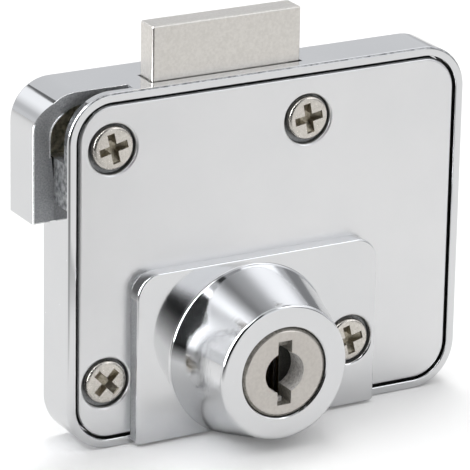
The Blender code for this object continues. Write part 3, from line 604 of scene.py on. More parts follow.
@dataclass
class Effects:
    """Node groups that several finishes share, each built once."""

    relief_roughness: float = 0.6
    cloud_range: Point = (0.45, 0.95)
    cloud_twist: float = 0.6
    cloud_detail: Point = (4.0, 2.0)
    fine_scale: float = 14.0
    fine_share: float = 0.3
    drift_range: Point = (0.35, 0.65)
    drift_detail: float = 5.0
    mark_range: Point = (0.66, 0.74)
    # Turn of each set of scratches, and how far its noise is drawn out
    mark_turns: tuple[Point, ...] = ((0.5, 0.02), (2.1, 0.03))

    def __post_init__(self) -> None:
        """Build the groups."""
        self.relief = self.relief_group()
        self.haze = self.haze_group()
        self.tone = self.tone_group()
        self.rubbed = self.rubbed_group()

    def relief_group(self) -> Tree:
        """Build the fine unevenness of a surface.

        Returns:
            The group: Scale, Stretch and Detail give a Height.
        """
        inputs = {"Scale": 1000.0, "Stretch": (1.0, 1.0, 1.0), "Detail": 3.0}
        group = Group("fine relief", inputs, "Height")
        given = group.given
        place = group.lay("Mapping", {"Vector": group.spot(), "Scale": given["Stretch"]}).outputs[0]
        return group.ended(
            group.noise(place, given["Scale"], given["Detail"], Roughness=self.relief_roughness)
        )

    def haze_group(self) -> Tree:
        """Build the soft clouds of handling and polish.

        Returns:
            The group: Clear, Hazed and Scale give a Roughness.
        """
        group = Group("handling haze", {"Clear": 0.04, "Hazed": 0.1, "Scale": 90.0}, "Roughness")
        given, place = group.given, group.spot()
        broad = group.noise(place, given["Scale"], self.cloud_detail[0], Distortion=self.cloud_twist)
        fine_scale = group.math("MULTIPLY", given["Scale"], self.fine_scale)
        fine = group.noise(place, fine_scale, self.cloud_detail[1])
        mixed = group.math("MULTIPLY_ADD", fine, self.fine_share, broad)
        rise = group.math("SUBTRACT", given["Hazed"], given["Clear"])
        share = group.spread(mixed, *self.cloud_range)
        return group.ended(group.math("MULTIPLY_ADD", share, rise, given["Clear"]))

    def tone_group(self) -> Tree:
        """Build the drift between two tones of a metal.

        Returns:
            The group: Tone, Shade and Scale give a Colour.
        """
        inputs = {"Tone": (0.8, 0.8, 0.8, 1.0), "Shade": (0.7, 0.7, 0.7, 1.0), "Scale": 200.0}
        group = Group("metal tone", inputs, "Colour", Kind.COLOUR)
        given = group.given
        drift = group.noise(group.spot(), given["Scale"], self.drift_detail)
        return group.ended(group.blend(group.spread(drift, *self.drift_range), given["Tone"], given["Shade"]))

    def rubbed_group(self) -> Tree:
        """Build the sparse fine scratches from wiping.

        Returns:
            The group: Scale and Amount give a Height.
        """
        group = Group("wiping marks", {"Scale": 300.0, "Amount": 0.5}, "Height")
        given, place = group.given, group.spot()
        marks = []
        for turn, squeeze in self.mark_turns:
            inputs = {"Vector": place, "Rotation": (0.0, turn, 0.0), "Scale": (1.0, 1.0, squeeze)}
            lines = group.noise(group.lay("Mapping", inputs).outputs[0], given["Scale"], 1.0)
            marks.append(group.spread(lines, *self.mark_range))
        return group.ended(group.math("MULTIPLY", group.math("MAXIMUM", *marks), given["Amount"]))


@dataclass(frozen=True)
class Metal:
    """What every metal finish has: a name and two tones that drift into each other."""

    name: str
    tone: Tint
    shade: Tint

    def start(
        self, effects: Effects, patch: float, haze: tuple[float, float, float], metallic: float = 1.0
    ) -> tuple[Material, Graph, Any]:
        """Start the material, with its tones and its haze.

        Args:
            effects: The shared groups.
            patch: Scale of the drift between the tones.
            haze: Roughness where it is clear, roughness where it is hazed, and the haze's scale.
            metallic: The shader's Metallic.

        Returns:
            The material, its graph and the inputs of its shader.
        """
        material = bpy.data.materials.new(self.name)
        material.use_nodes = True
        graph = Graph(material.node_tree)
        sockets = material.node_tree.nodes["Principled BSDF"].inputs
        sockets["Metallic"].default_value = metallic
        tones = {"Tone": colour(self.tone), "Shade": colour(self.shade), "Scale": patch}
        graph.feed(sockets["Base Color"], graph.place(effects.tone, tones))
        clouds = {"Clear": haze[0], "Hazed": haze[1], "Scale": haze[2]}
        graph.feed(sockets["Roughness"], graph.place(effects.haze, clouds))
        return material, graph, sockets


@dataclass(frozen=True)
class Plating(Metal):
    """Bright plating over a cast and polished surface."""

    tone: Tint = (0.745, 0.748, 0.754)
    shade: Tint = (0.725, 0.730, 0.738)
    clear: float = 0.035
    hazed: float = 0.075
    wave: float = 0.05
    marks: float = 0.3
    rings: float = 0.0
    patch: float = 120.0
    haze_scale: float = 90.0
    wave_scale: float = 320.0
    wave_height: float = 0.00006
    mark_scale: float = 900.0
    mark_strength: float = 0.05
    mark_height: float = 0.00001
    ring_scale: float = 9000.0
    ring_height: float = 0.000006

    def make(self, effects: Effects) -> Material:
        """Make the material.

        Args:
            effects: The shared groups.

        Returns:
            The material.
        """
        haze = (self.clear, self.hazed, self.haze_scale)
        material, graph, sockets = self.start(effects, self.patch, haze)
        waves = graph.place(effects.relief, {"Scale": self.wave_scale, "Detail": 1.0})
        marks = graph.place(effects.rubbed, {"Scale": self.mark_scale, "Amount": self.marks})
        normal = graph.bump(self.wave, self.wave_height, waves)
        normal = graph.bump(self.mark_strength, self.mark_height, marks, Normal=normal)
        if self.rings:
            grain = {"Scale": self.ring_scale, "Stretch": Grain.ROUND.value, "Detail": 1.0}
            turning = graph.place(effects.relief, grain)
            normal = graph.bump(self.rings, self.ring_height, turning, Normal=normal)
        graph.feed(sockets["Normal"], normal)
        return material


@dataclass(frozen=True)
class Satin(Metal):
    """Warm satin nickel, rubbed in one direction or even."""

    rough: float
    grain: Grain = Grain.EVEN
    grain_scale: float = 4000.0
    grain_depth: float = 0.25
    metallic: float = 1.0
    patch: float = 2600.0
    haze_range: Point = (0.02, 0.04)
    haze_scale: float = 1200.0
    grain_height: float = 0.00003

    def make(self, effects: Effects) -> Material:
        """Make the material.

        Args:
            effects: The shared groups.

        Returns:
            The material.
        """
        haze = (self.rough - self.haze_range[0], self.rough + self.haze_range[1], self.haze_scale)
        material, graph, sockets = self.start(effects, self.patch, haze, self.metallic)
        grain = {"Scale": self.grain_scale, "Stretch": self.grain.value, "Detail": 3.0}
        height = graph.place(effects.relief, grain)
        graph.feed(sockets["Normal"], graph.bump(self.grain_depth, self.grain_height, height))
        return material


@dataclass(frozen=True)
class Casting(Metal):
    """Bare or thinly plated casting, left rough where nobody polishes it."""

    tone: Tint = (0.40, 0.405, 0.41)
    shade: Tint = (0.29, 0.295, 0.30)
    rough: float = 0.46
    relief: float = 0.6
    patch: float = 4200.0
    metallic: float = 1.0
    haze_rise: float = 0.2
    haze_scale: float = 700.0
    relief_scale: float = 4600.0
    relief_height: float = 0.00008

    def make(self, effects: Effects) -> Material:
        """Make the material.

        Args:
            effects: The shared groups.

        Returns:
            The material.
        """
        haze = (self.rough, self.rough + self.haze_rise, self.haze_scale)
        material, graph, sockets = self.start(effects, self.patch, haze, self.metallic)
        height = graph.place(effects.relief, {"Scale": self.relief_scale, "Detail": 4.0})
        graph.feed(sockets["Normal"], graph.bump(self.relief, self.relief_height, height))
        return material


@dataclass
class Finishes:
    """All finishes of the lock, made from one set of shared effects."""

    effects: Effects = field(default_factory=Effects)

    def __post_init__(self) -> None:
        """Make the materials."""
        effects = self.effects
        self.case = Plating("bright chrome, case").make(effects)
        self.cover = Plating(
            "satin chrome, cover plate", (0.80, 0.80, 0.803), (0.78, 0.782, 0.787), 0.31, 0.36, wave=0.02
        ).make(effects)
        self.housing = Plating(
            "bright chrome, housing", clear=0.06, hazed=0.10, wave=0.06, rings=0.8
        ).make(effects)
        # Rough casting; also painted shade on the plate's border and the walls of seats and holes
        self.casting = Casting("rough casting and painted shade").make(effects)
        # Near-white worn casting edge: partly wear, partly a painted highlight on fillets, lips and sill
        self.edge = Casting(
            "worn casting edge with painted highlight", (0.97, 0.97, 0.97), (0.70, 0.70, 0.70), rough=0.40, relief=0.3
        ).make(effects)
        # Mottled casting; on the rim's fillet it is partly casting marks and partly painted shade
        self.side = Casting(
            "mottled casting side and painted shade", (0.56, 0.565, 0.57), (0.17, 0.175, 0.18), rough=0.34, patch=1500.0
        ).make(effects)
        self.hollow = Casting(
            "stained hollow", (0.44, 0.405, 0.315), (0.13, 0.13, 0.11), rough=0.42, patch=1300.0
        ).make(effects)
        # Keyway walls; on the plug head's rim it is painted shade round the plug
        self.keyway = Casting(
            "broached keyway and painted shade", (0.38, 0.36, 0.32), (0.19, 0.18, 0.16), rough=0.4, patch=3000.0, metallic=0.3
        ).make(effects)
        # Painted shade: near-black for the slit, rim walls, plate sides, keyhole bottom and wafer slots
        self.shade = Casting(
            "painted shade in the gaps", (0.035, 0.035, 0.031), (0.014, 0.014, 0.012), rough=0.5, metallic=0.5
        ).make(effects)
        self.recess = Casting(
            "screw recess", (0.50, 0.455, 0.37), (0.33, 0.30, 0.235), rough=0.32, relief=0.25
        ).make(effects)
        self.bolt = Satin(
            "satin nickel, bolt", (0.74, 0.715, 0.675), (0.67, 0.645, 0.605), 0.30, Grain.EVEN, 4400.0, 0.5
        ).make(effects)
        self.plug = Satin(
            "satin nickel, plug", (0.60, 0.57, 0.53), (0.55, 0.52, 0.485), 0.30, Grain.UPRIGHT, 3000.0, 0.12
        ).make(effects)
        self.bore = Satin(
            "drilled nickel, keyhole",
            (0.93, 0.91, 0.88),
            (0.60, 0.58, 0.56),
            rough=0.5,
            grain=Grain.ROUND,
            grain_scale=3400.0,
            grain_depth=1.0,
            metallic=0.25,
        ).make(effects)
        self.screw = Satin(
            "satin nickel, screws", (0.70, 0.665, 0.615), (0.60, 0.57, 0.52), 0.26, Grain.EVEN, 5000.0, 0.3
        ).make(effects)
        self.steel = Satin(
            "turned steel, works", (0.50, 0.50, 0.505), (0.42, 0.42, 0.43), 0.35, Grain.LEVEL, 3000.0, 0.2
        ).make(effects)
        self.brass = Satin(
            "stamped brass, wafers", (0.60, 0.47, 0.24), (0.50, 0.39, 0.19), 0.33, Grain.UPRIGHT, 3000.0, 0.2
        ).make(effects)


# The lock's sub-assemblies


class CaseFace(IntEnum):
    """Finishes of the case's faces, by slot number."""

    CASE = 0
    CASTING = 1
    # Near-white worn edge, partly a painted highlight
    EDGE = 2
    HOLLOW = 3
    # Near-black painted shade in gaps and the slit
    SHADE = 4
    # Mottled side; on the rim's fillet partly painted shade
    SIDE = 5


class CoverFace(IntEnum):
    """Finishes of the cover plate's faces, by slot number."""

    COVER = 0
    # Near-black painted shade on the plate's deep sides
    SHADE = 1
    # Rough casting, here painted shade on the border and in seats and holes
    CASTING = 2


class HousingFace(IntEnum):
    """Finishes of the housing's faces, by slot number."""

    HOUSING = 0
    # Rough casting in the bore and on the flange's left side; painted shade on the seat's deep wall
    CASTING = 1


class PlugFace(IntEnum):
    """Finishes of the plug's faces, by slot number."""

    PLUG = 0
    BORE = 1
    # Keyway walls, and painted shade on the head's rim
    KEYWAY = 2
    # Near-black painted shade in the keyhole's bottom and the wafer slots
    SHADE = 3


def slots_of(faces: type[IntEnum], finishes: Finishes) -> list[Material]:
    """List the finishes that a piece's faces are named for, in the order of their numbers."""
    return [getattr(finishes, face.name.lower()) for face in faces]


@dataclass
class ScrewSeat:
    """Place of one screw: its axis, the surface it is let into and the turn of its cross."""

    name: str
    centre: Point
    surface: float
    length: float
    roll: float
    shift: Point = (0.0, 0.0)
    stand: float = 0.2

    hole_radius: float = 1.65
    seat_radius: float = 3.35
    seat_depth: float = 1.0
    seat_round: float = 0.15
    flare: float = 0.36
    # Depth from which the seat's wall is split off to be painted darker, as painted shade
    shade_from: float = 0.5

    @property
    def under(self) -> float:
        """Plane of the underside of the screw's head."""
        return self.surface + self.seat_depth - self.stand

    def tool(self, back: float) -> BMesh:
        """Model the tool that cuts the head's seat and the hole behind it.

        Args:
            back: Plane that the hole runs past.

        Returns:
            The tool.
        """
        mouth = self.seat_radius + self.flare
        bottom = self.surface + self.seat_depth
        small = self.seat_round
        profile = [(0.0, self.surface - PAST), (mouth, self.surface - PAST)]
        profile += arc((mouth, self.surface + self.flare), self.flare, -90.0, -180.0, steps=6)
        # A ring at shade_from splits the wall, so its deeper part can take painted shade
        profile += [(self.seat_radius, self.surface + self.shade_from)]
        profile += arc((self.seat_radius - small, bottom - small), small, 0.0, 90.0, steps=4)
        profile += [(self.hole_radius, bottom), (self.hole_radius, back + PAST), (0.0, back + PAST)]
        return turned(profile, self.centre, steps=96)


@dataclass
class CaseCasting:
    """Cast case: tray with a rim, corner lug, corner window, bosses and bolt guides."""

    left: float = -25.4
    right: float = 32.6
    bottom: float = -10.9
    top: float = 36.9
    front: float = -7.2
    back: float = 0.0
    corner: float = 6.2
    fillet: float = 0.34
    rim: float = 1.2
    rim_round: float = 0.16
    rim_slack: float = 0.1
    wall: float = 2.0
    ledge: float = -5.45
    # Depth from which the rim's inner walls are painted near-black, as painted shade
    shade_from: float = 0.5
    floor: float = -1.55
    lug_left: float = -28.3
    lug_wall: float = 2.4
    lug_front: float = -3.1
    lug_back: float = 3.8
    lug_bottom: float = 19.6
    lug_right: float = -5.4
    lug_corner: float = 5.4
    lug_slack: float = 0.05
    web_overlap: float = 0.8
    arm_start: Point = (-28.2, 33.2)
    arm_right: float = -15.0
    arm_front: float = -4.6
    arm_slope: float = 2.3
    arm_fillet: float = 0.32
    arm_overlap: float = 0.3
    arm_slack: float = 0.1
    pocket_wall: float = 1.75
    pocket_corner: float = 3.6
    pocket_skin: float = 0.6
    side_foot: float = 2.6
    lug_fillet: float = 0.22
    lug_back_fillet: float = 0.5
    window_front: float = -6.0
    window_right: float = -15.8
    window_bottom: float = 28.2
    window_corner: float = 0.35
    burr: float = 0.14
    slit_width: float = 0.3
    slit_height: float = 3.0
    slit_start: Point = (-0.5, 0.1)
    slit_depth: float = 1.6
    bosses: tuple[Point, ...] = ((-19.1, 29.5), (9.1, 29.5), (-19.9, -1.9), (15.05, -1.3))
    boss_radius: float = 2.6
    bolt_left: float = -12.6
    bolt_right: float = 8.8
    bolt_gap: float = 0.25
    clearing_left: float = 5.5
    clearing_bottom: float = 26.9
    clearing_top: float = 33.1
    guides: tuple[Point, ...] = ((-14.05, 35.1), (7.6, 27.1))
    guide_width: float = 1.2
    guide_foot: float = 9.1
    # Limits of a face's normal on the broken line of the rim, partly casting marks and partly painted
    # shade over the fillet's highlight: least rise, least and most lean forward
    line_normal: tuple[float, float, float] = (0.2, 0.5, 0.9)

    def tray(self) -> BMesh:
        """Model the tray with its rim, ledge and hollow.

        Returns:
            The tray. Its hollow has the stained finish, the rim's inner walls have that of dark gaps,
            and a broken line along the rim's top edge has that of the casting's side.
        """
        work = Span(self.left, self.right, self.front, self.back, self.bottom, self.top).shape()
        round_upright(work, self.corner, segments=32)
        round_rim(work, self.front, self.fillet, segments=8)
        round_rim(work, self.back, self.fillet, segments=5)
        face = flat_face(work, self.front)
        inset(work, face, self.rim - self.fillet)
        sink(work, face, self.ledge - self.front)
        round_rim(work, self.front, self.rim_round, segments=4, near=self.inside)
        face = flat_face(work, self.ledge)
        inset(work, face, self.wall - self.rim)
        for made in sink(work, face, self.floor - self.ledge):
            if abs(made.normal.y) < STEEP or made.calc_center_median().y > self.ledge + NEAR:
                made.material_index = CaseFace.HOLLOW
        # Split the rim's inner walls at shade_from; their deeper part is painted near-black as painted shade
        shade = self.front + self.shade_from
        slice_at(work, (0.0, shade, 0.0), (0.0, 1.0, 0.0))
        work.normal_update()
        line = self.front + self.fillet
        upward, low, high = self.line_normal
        # The rim's top fillet turns mottled: partly casting marks, partly painted shade over its highlight
        for made in work.faces:
            middle = made.calc_center_median()
            if self.inside(middle):
                if shade < middle.y < self.ledge - NEAR:
                    made.material_index = CaseFace.SHADE
            elif middle.y < line and made.normal.z > upward and low < -made.normal.y < high:
                made.material_index = CaseFace.SIDE
        return work

    def inside(self, point: Vector) -> bool:
        """Tell whether a point lies near the rim's inner edge or further in."""
        return self.depth_in(point) > self.rim - self.rim_slack

    def depth_in(self, point: Vector) -> float:
        """Measure how far inside the case's rounded outline a point is.

        Args:
            point: The point.

        Returns:
            Its distance from the outline, at most the corners' radius.
        """
        reach_x = max(self.left + self.corner - point.x, point.x - self.right + self.corner, 0.0)
        reach_z = max(self.bottom + self.corner - point.z, point.z - self.top + self.corner, 0.0)
        if reach_x > 0.0 and reach_z > 0.0:
            return self.corner - math.hypot(reach_x, reach_z)
        return self.corner - max(reach_x, reach_z)

    def bar(self, right: float, front: float, back: float) -> BMesh:
        """Model a bent bar with the lug's outline.

        Args:
            right: End of its top arm.
            front: Its front plane.
            back: Its back plane.

        Returns:
            The bar, its edges sharp.
        """
        inner_x = self.lug_left + self.lug_wall
        inner_z = self.top - self.lug_wall
        outline = [
            (self.lug_left, self.lug_bottom),
            (inner_x, self.lug_bottom),
            (inner_x, inner_z),
            (right, inner_z),
            (right, self.top),
            (self.lug_left, self.top),
        ]
        work = prism(outline, front, back)
        outer = (self.lug_left, self.top, self.lug_corner, 28)
        inner = (inner_x, inner_z, self.lug_corner - self.lug_wall, 20)
        for at_x, at_z, radius, segments in (outer, inner):
            round_upright(work, radius, segments, near=lambda x, z: math.hypot(x - at_x, z - at_z) < NEAR)
        return work

    def lug(self) -> BMesh:
        """Model the bent bar of the corner lug.

        Returns:
            The bar.
        """
        work = self.bar(self.lug_right, self.lug_front, self.lug_back)
        round_rim(work, self.lug_back, self.lug_back_fillet, segments=6)
        round_rim(work, self.lug_front, self.lug_fillet, segments=4, near=self.on_lug_outline)
        return work

    def arm(self) -> BMesh:
        """Model the thicker front of the lug's top arm, which starts in a slope.

        Returns:
            The added block.
        """
        work = self.sloped(self.bar(self.arm_right, self.arm_front, self.lug_front + self.arm_overlap), 0.0)
        round_rim(work, self.arm_front, self.arm_fillet, segments=5, near=self.on_lug_outline)
        return work

    def sloped(self, work: BMesh, lift: float) -> BMesh:
        """Cut a block down to the slope in which the lug's top arm starts.

        Args:
            work: The block, which is changed.
            lift: Distance by which the cut stands proud of the slope.

        Returns:
            The block.
        """
        rise = self.lug_front - self.arm_front
        start = (self.arm_start[0], self.lug_front - lift, self.arm_start[1])
        halve(work, start, (-rise, -2.0 * self.arm_slope, -rise))
        return work

    def lug_reach(self, point: Vector) -> float:
        """Measure how far a point lies towards the lug's outer outline.

        Args:
            point: The point.

        Returns:
            Its distance from the centre of the lug's corner, which is the corner's radius at the outline.
        """
        reach_x = max(self.lug_left + self.lug_corner - point.x, 0.0)
        reach_z = max(point.z - self.top + self.lug_corner, 0.0)
        return math.hypot(reach_x, reach_z)

    def on_lug_outline(self, point: Vector) -> bool:
        """Tell whether a point lies on the outer outline or the foot of the lug."""
        outer = self.lug_reach(point) > self.lug_corner - self.lug_wall / 2
        return outer or point.z < self.lug_bottom + NEAR

    def steps(self, seats: Sequence[ScrewSeat], finishes: Finishes) -> list[Step]:
        """List the tools that complete the casting.

        Args:
            seats: Seats of the screws, which need threads.
            finishes: The finishes of the lock.

        Returns:
            The tools in order.
        """
        rough, stained = finishes.casting, finishes.hollow
        web = Span(
            self.lug_left + self.lug_wall - self.web_overlap,
            self.left + self.corner,
            self.lug_front,
            self.back,
            self.lug_bottom + self.lug_fillet,
            self.top - self.lug_wall + OVERLAP,
        )
        front, sill, end = self.window_front, self.window_bottom, self.window_right
        window = Span(self.lug_left - PAST, end, front, self.lug_front, sill, self.top + PAST).shape()
        corner = self.window_corner
        round_upright(window, corner, segments=6, near=lambda x, z: x > end - NEAR and z < self.top)
        burr, skin = self.burr, self.back - self.pocket_skin
        steps = [
            Step(Cut.ADD, self.lug()),
            Step(Cut.ADD, web.shape()),
            Step(Cut.REMOVE, window, rough),
            Step(Cut.ADD, self.arm(), rough),
            # The burr lips round the pocket take the worn edge finish, partly a painted highlight
            Step(Cut.ADD, self.pocket(-burr, self.lug_front - burr, skin), finishes.edge),
            Step(Cut.ADD, self.sloped(self.pocket(-burr, self.arm_front, skin), burr), finishes.edge),
            Step(Cut.REMOVE, self.pocket(0.0, front + APART, self.floor, APART), stained),
            # The slit is painted near-black, as painted shade
            Step(Cut.REMOVE, self.slit(), finishes.shade),
        ]
        foot = self.floor + OVERLAP
        for centre in self.bosses:
            steps.append(Step(Cut.ADD, rod(self.boss_radius, self.ledge, foot, centre, steps=40), stained))
        for left, top in self.guides:
            rib = Span(left, left + self.guide_width, self.ledge, foot, self.guide_foot, top)
            steps.append(Step(Cut.ADD, rib.shape(), rough))
        for seat in seats:
            tip = seat.under + seat.length + OVERLAP
            hole = rod(seat.hole_radius, self.front, tip, seat.centre, steps=32)
            steps.append(Step(Cut.REMOVE, hole, rough))
        left, right = self.bolt_left - self.bolt_gap, self.bolt_right + self.bolt_gap
        ledge, low, high = self.ledge - PAST, self.clearing_bottom, self.clearing_top
        clearing = Span(self.clearing_left, right, ledge, self.floor, low, high)
        slot = Span(left, right, self.ledge, self.floor, self.top - self.wall - PAST, self.top + PAST)
        return steps + [Step(Cut.REMOVE, span.shape(), rough) for span in (clearing, slot)]

    def pocket(self, inset_by: float, front: float, back: float, off: float = 0.0) -> BMesh:
        """Model a block with the pocket's outline.

        Args:
            inset_by: Width by which the outline is drawn in.
            front: Its front plane.
            back: Its back plane.
            off: Distance at which it stays off the window's sill and right wall.

        Returns:
            The block.
        """
        left, right = self.lug_left + self.lug_wall + inset_by, self.window_right - off
        bottom, top = self.window_bottom + off, self.top - self.pocket_wall - inset_by
        work = Span(left, right, front, back, bottom, top).shape()
        radius = self.pocket_corner - inset_by
        round_upright(work, radius, segments=18, near=lambda x, z: x < left + NEAR and z > top - NEAR)
        return work

    def slit(self) -> BMesh:
        """Model the tool of the narrow slit between the lug and the case's side.

        Returns:
            The tool, a wedge that narrows downwards.
        """
        start, rise = self.slit_start
        outline = [
            (self.left - self.slit_width, self.window_bottom + rise),
            (self.left - APART, self.window_bottom + rise),
            (self.left - APART, self.window_bottom - self.slit_height),
        ]
        return prism(outline, self.lug_front + start, self.lug_front + self.slit_depth)

    def rough_faces(self, work: BMesh) -> None:
        """Give the window's sill, the lug's front and its edges the finishes of the unpolished casting; the
        sill and the edges take the near-white worn edge, partly a painted highlight.

        Args:
            work: The finished casting, whose faces change their slots.
        """
        slice_at(work, (0.0, 0.0, self.lug_bottom + self.side_foot), (0.0, 0.0, 1.0))
        work.normal_update()
        for face in work.faces:
            middle, number = face.calc_center_median(), face.material_index
            on_sill = face.normal.z > FLAT and abs(middle.z - self.window_bottom) < APART + NEAR
            if number == CaseFace.HOLLOW and on_sill:
                face.material_index = CaseFace.EDGE
            elif number in (CaseFace.CASE, CaseFace.CASTING) and middle.x < self.arm_right + self.arm_slack:
                face.material_index = self.lug_face(face, middle)

    def lug_face(self, face: BMFace, middle: Vector) -> int:
        """Choose the finish of a face at the lug or on the case's left side.

        Args:
            face: The face.
            middle: Its middle point.

        Returns:
            The slot number.
        """
        on_arm = face.material_index == CaseFace.CASTING
        front = self.arm_front if on_arm else self.lug_front
        fillet = self.arm_fillet if on_arm else self.lug_fillet
        if abs(middle.y - front) < NEAR and face.normal.y < -FLAT:
            return CaseFace.CASTING
        # The lug's outline fillets take the worn edge, partly a painted highlight
        if abs(middle.y - front) < fillet and self.on_lug_outline(middle):
            return CaseFace.EDGE
        if on_arm:
            outermost = self.lug_reach(middle) > self.lug_corner - self.lug_slack
            return CaseFace.CASE if outermost and abs(face.normal.y) < STEEP else CaseFace.CASTING
        beside = self.lug_bottom + self.side_foot < middle.z < self.window_bottom
        if beside and face.normal.x < -FLAT and abs(middle.x - self.left) < NEAR:
            return CaseFace.SIDE
        return CaseFace.CASE

    def build(self, seats: Sequence[ScrewSeat], finishes: Finishes) -> Item:
        """Build and dress the case.

        Args:
            seats: Seats of the screws.
            finishes: The finishes of the lock.

        Returns:
            The piece.
        """
        slots = slots_of(CaseFace, finishes)
        work = carve("case_shell", self.tray(), slots, self.steps(seats, finishes))
        self.rough_faces(work)
        return finish_piece("case_shell", work, slots, Body.CASE, "case")


@dataclass
class CoverPlate:
    """Cover plate let into the rim, with its screw seats."""

    left: float = -23.9
    right: float = 31.1
    bottom: float = -9.4
    top: float = 35.4
    front: float = -7.1
    back: float = -5.65
    corner: float = 4.7
    fillet: float = 0.45
    # Border width, and depths from which the plate's sides turn grey, then near-black: painted shade in the
    # gap
    border: float = 0.9
    rough_from: float = 0.08
    shade_from: float = 0.25
    back_fillet: float = 0.2
    cam_hole: float = 6.8
    hook_slot: Span = Span(-15.8, -11.9, -8.2, -4.6, -2.2, 2.2)

    def darken(self, work: BMesh, seat_shade: float) -> None:
        """Paint shade into the gap round the plate and into its screw seats and holes, as darker finishes.

        Args:
            work: The worked plate, whose faces change their slots.
            seat_shade: Depth from which the wall of a seat or hole takes the rough casting finish, as painted
                shade.
        """
        for face in work.faces:
            middle = face.calc_center_median()
            depth = middle.y - self.front
            across = min(middle.x - self.left, self.right - middle.x)
            upright = min(middle.z - self.bottom, self.top - middle.z)
            if middle.y > self.back - NEAR:
                continue
            if min(across, upright) >= self.border:
                if depth > seat_shade:
                    face.material_index = CoverFace.CASTING
            elif depth > self.rough_from:
                face.material_index = CoverFace.SHADE if depth > self.shade_from else CoverFace.CASTING

    def build(self, seats: Sequence[ScrewSeat], finishes: Finishes) -> Item:
        """Build and dress the plate.

        Args:
            seats: Seats of the cover screws first, with the flange screw last.
            finishes: The finishes of the lock.

        Returns:
            The piece.
        """
        work = Span(self.left, self.right, self.front, self.back, self.bottom, self.top).shape()
        round_upright(work, self.corner, segments=28)
        # The plate's outline walls start as painted shade, before the rims are rounded
        for face in work.faces:
            face.material_index = CoverFace.SHADE if abs(face.normal.y) < STEEP else CoverFace.COVER
        round_rim(work, self.front, self.fillet, segments=8)
        round_rim(work, self.back, self.back_fillet, segments=3)
        steps = [Step(Cut.REMOVE, seat.tool(self.back)) for seat in seats[:-1]]
        for radius, centre in ((seats[-1].hole_radius, seats[-1].centre), (self.cam_hole, (0.0, 0.0))):
            steps.append(Step(Cut.REMOVE, rod(radius, self.front - PAST, self.back + PAST, centre, steps=72)))
        steps.append(Step(Cut.REMOVE, self.hook_slot.shape()))
        slots = slots_of(CoverFace, finishes)
        work = carve("cover_sheet", work, slots, steps)
        self.darken(work, seats[0].shade_from)
        return finish_piece("cover_sheet", work, slots, Body.CASE, "cover_plate")


@dataclass
class CylinderHousing:
    """Flange and tapered nose in one casting, with the stepped bore of the plug."""

    flange: Span = Span(-16.4, 19.0, -9.0, -7.12, -10.55, 12.6)
    corner: float = 3.3
    foot: float = 0.5
    fillet: float = 0.26
    back_fillet: float = 0.04
    base_radius: float = 11.6
    front_radius: float = 9.2
    nose_front: float = -18.35
    nose_fillet: float = 0.5
    root_fillet: float = 0.3
    nose_foot: float = -10.45
    head_bore: float = 6.15
    chamfer: float = 0.12
    step: float = -16.45
    bore: float = 5.65
    groove: Span = Span(-2.65, 2.65, -15.5, -6.4, 0.0, 6.25)
    side_groove: Span = Span(0.0, 6.25, -15.5, -6.4, -2.65, 2.65)
    hook_stem: Span = Span(-14.4, -12.6, -7.6, -4.75, -2.0, 2.0)
    hook_toe: Span = Span(-15.6, -12.8, -5.45, -4.75, -1.8, 1.8)

    def nose(self) -> BMesh:
        """Model the tapered nose, with its flat foot.

        Returns:
            The nose, solid.
        """
        fillet, root, base = self.nose_fillet, self.root_fillet, self.flange.front
        profile = [(0.0, self.nose_front)]
        profile += arc((self.front_radius - fillet, self.nose_front + fillet), fillet, -90.0, 0.0, steps=8)
        profile += arc((self.base_radius + root, base - root), root, 180.0, 90.0, steps=6)
        profile += [(self.base_radius + root, base + OVERLAP), (0.0, base + OVERLAP)]
        nose = turned(profile, (0.0, 0.0), steps=192)
        halve(nose, (0.0, 0.0, self.nose_foot), (0.0, 0.0, -1.0))
        return nose

    def bore_tool(self) -> BMesh:
        """Model the tool of the stepped bore, with a small chamfer at its mouth.

        Returns:
            The tool.
        """
        before, behind = self.nose_front - PAST, self.flange.back + PAST
        profile = [
            (0.0, before),
            (self.head_bore + self.chamfer + PAST, before),
            (self.head_bore, self.nose_front + self.chamfer),
            (self.head_bore, self.step),
            (self.bore, self.step),
            (self.bore, behind),
            (0.0, behind),
        ]
        return turned(profile, (0.0, 0.0), steps=128)

    def darken(self, work: BMesh, seat: ScrewSeat) -> None:
        """Give the screw seat's deep wall the casting finish as painted shade, and the flange's left side the
        casting finish too.

        Args:
            work: The worked housing, whose faces change their slots.
            seat: Seat of the flange screw.
        """
        flange = self.flange
        for face in work.faces:
            middle = face.calc_center_median()
            if middle.y < self.nose_front + self.chamfer:
                face.material_index = HousingFace.HOUSING
            # The seat's wall below shade_from takes painted shade
            on_wall = flange.front + seat.shade_from < middle.y < flange.back - NEAR
            on_side = face.normal.x < -FLAT and abs(middle.x - flange.left) < NEAR
            if on_side or (on_wall and from_axis(middle, seat.centre) < seat.seat_radius + NEAR):
                face.material_index = HousingFace.CASTING

    def build(self, seat: ScrewSeat, finishes: Finishes) -> Item:
        """Build and dress the housing.

        Args:
            seat: Seat of the flange screw.
            finishes: The finishes of the lock.

        Returns:
            The piece.
        """
        work = self.flange.shape()
        round_upright(work, self.corner, segments=20, near=lambda x, z: z > 0.0)
        round_upright(work, self.foot, segments=6, near=lambda x, z: z < self.flange.bottom + NEAR)
        round_rim(work, self.flange.front, self.fillet, segments=8)
        round_rim(work, self.flange.back, self.back_fillet, segments=2)
        added = (self.nose(), self.hook_stem.shape(), self.hook_toe.shape())
        steps = [Step(Cut.ADD, shape) for shape in added]
        for shape in (self.bore_tool(), self.groove.shape(), self.side_groove.shape()):
            steps.append(Step(Cut.REMOVE, shape, finishes.casting))
        steps.append(Step(Cut.REMOVE, seat.tool(self.flange.back)))
        slots = slots_of(HousingFace, finishes)
        work = carve("housing_shell", work, slots, steps)
        self.darken(work, seat)
        return finish_piece("housing_shell", work, slots, Body.CASE, "cylinder_housing")


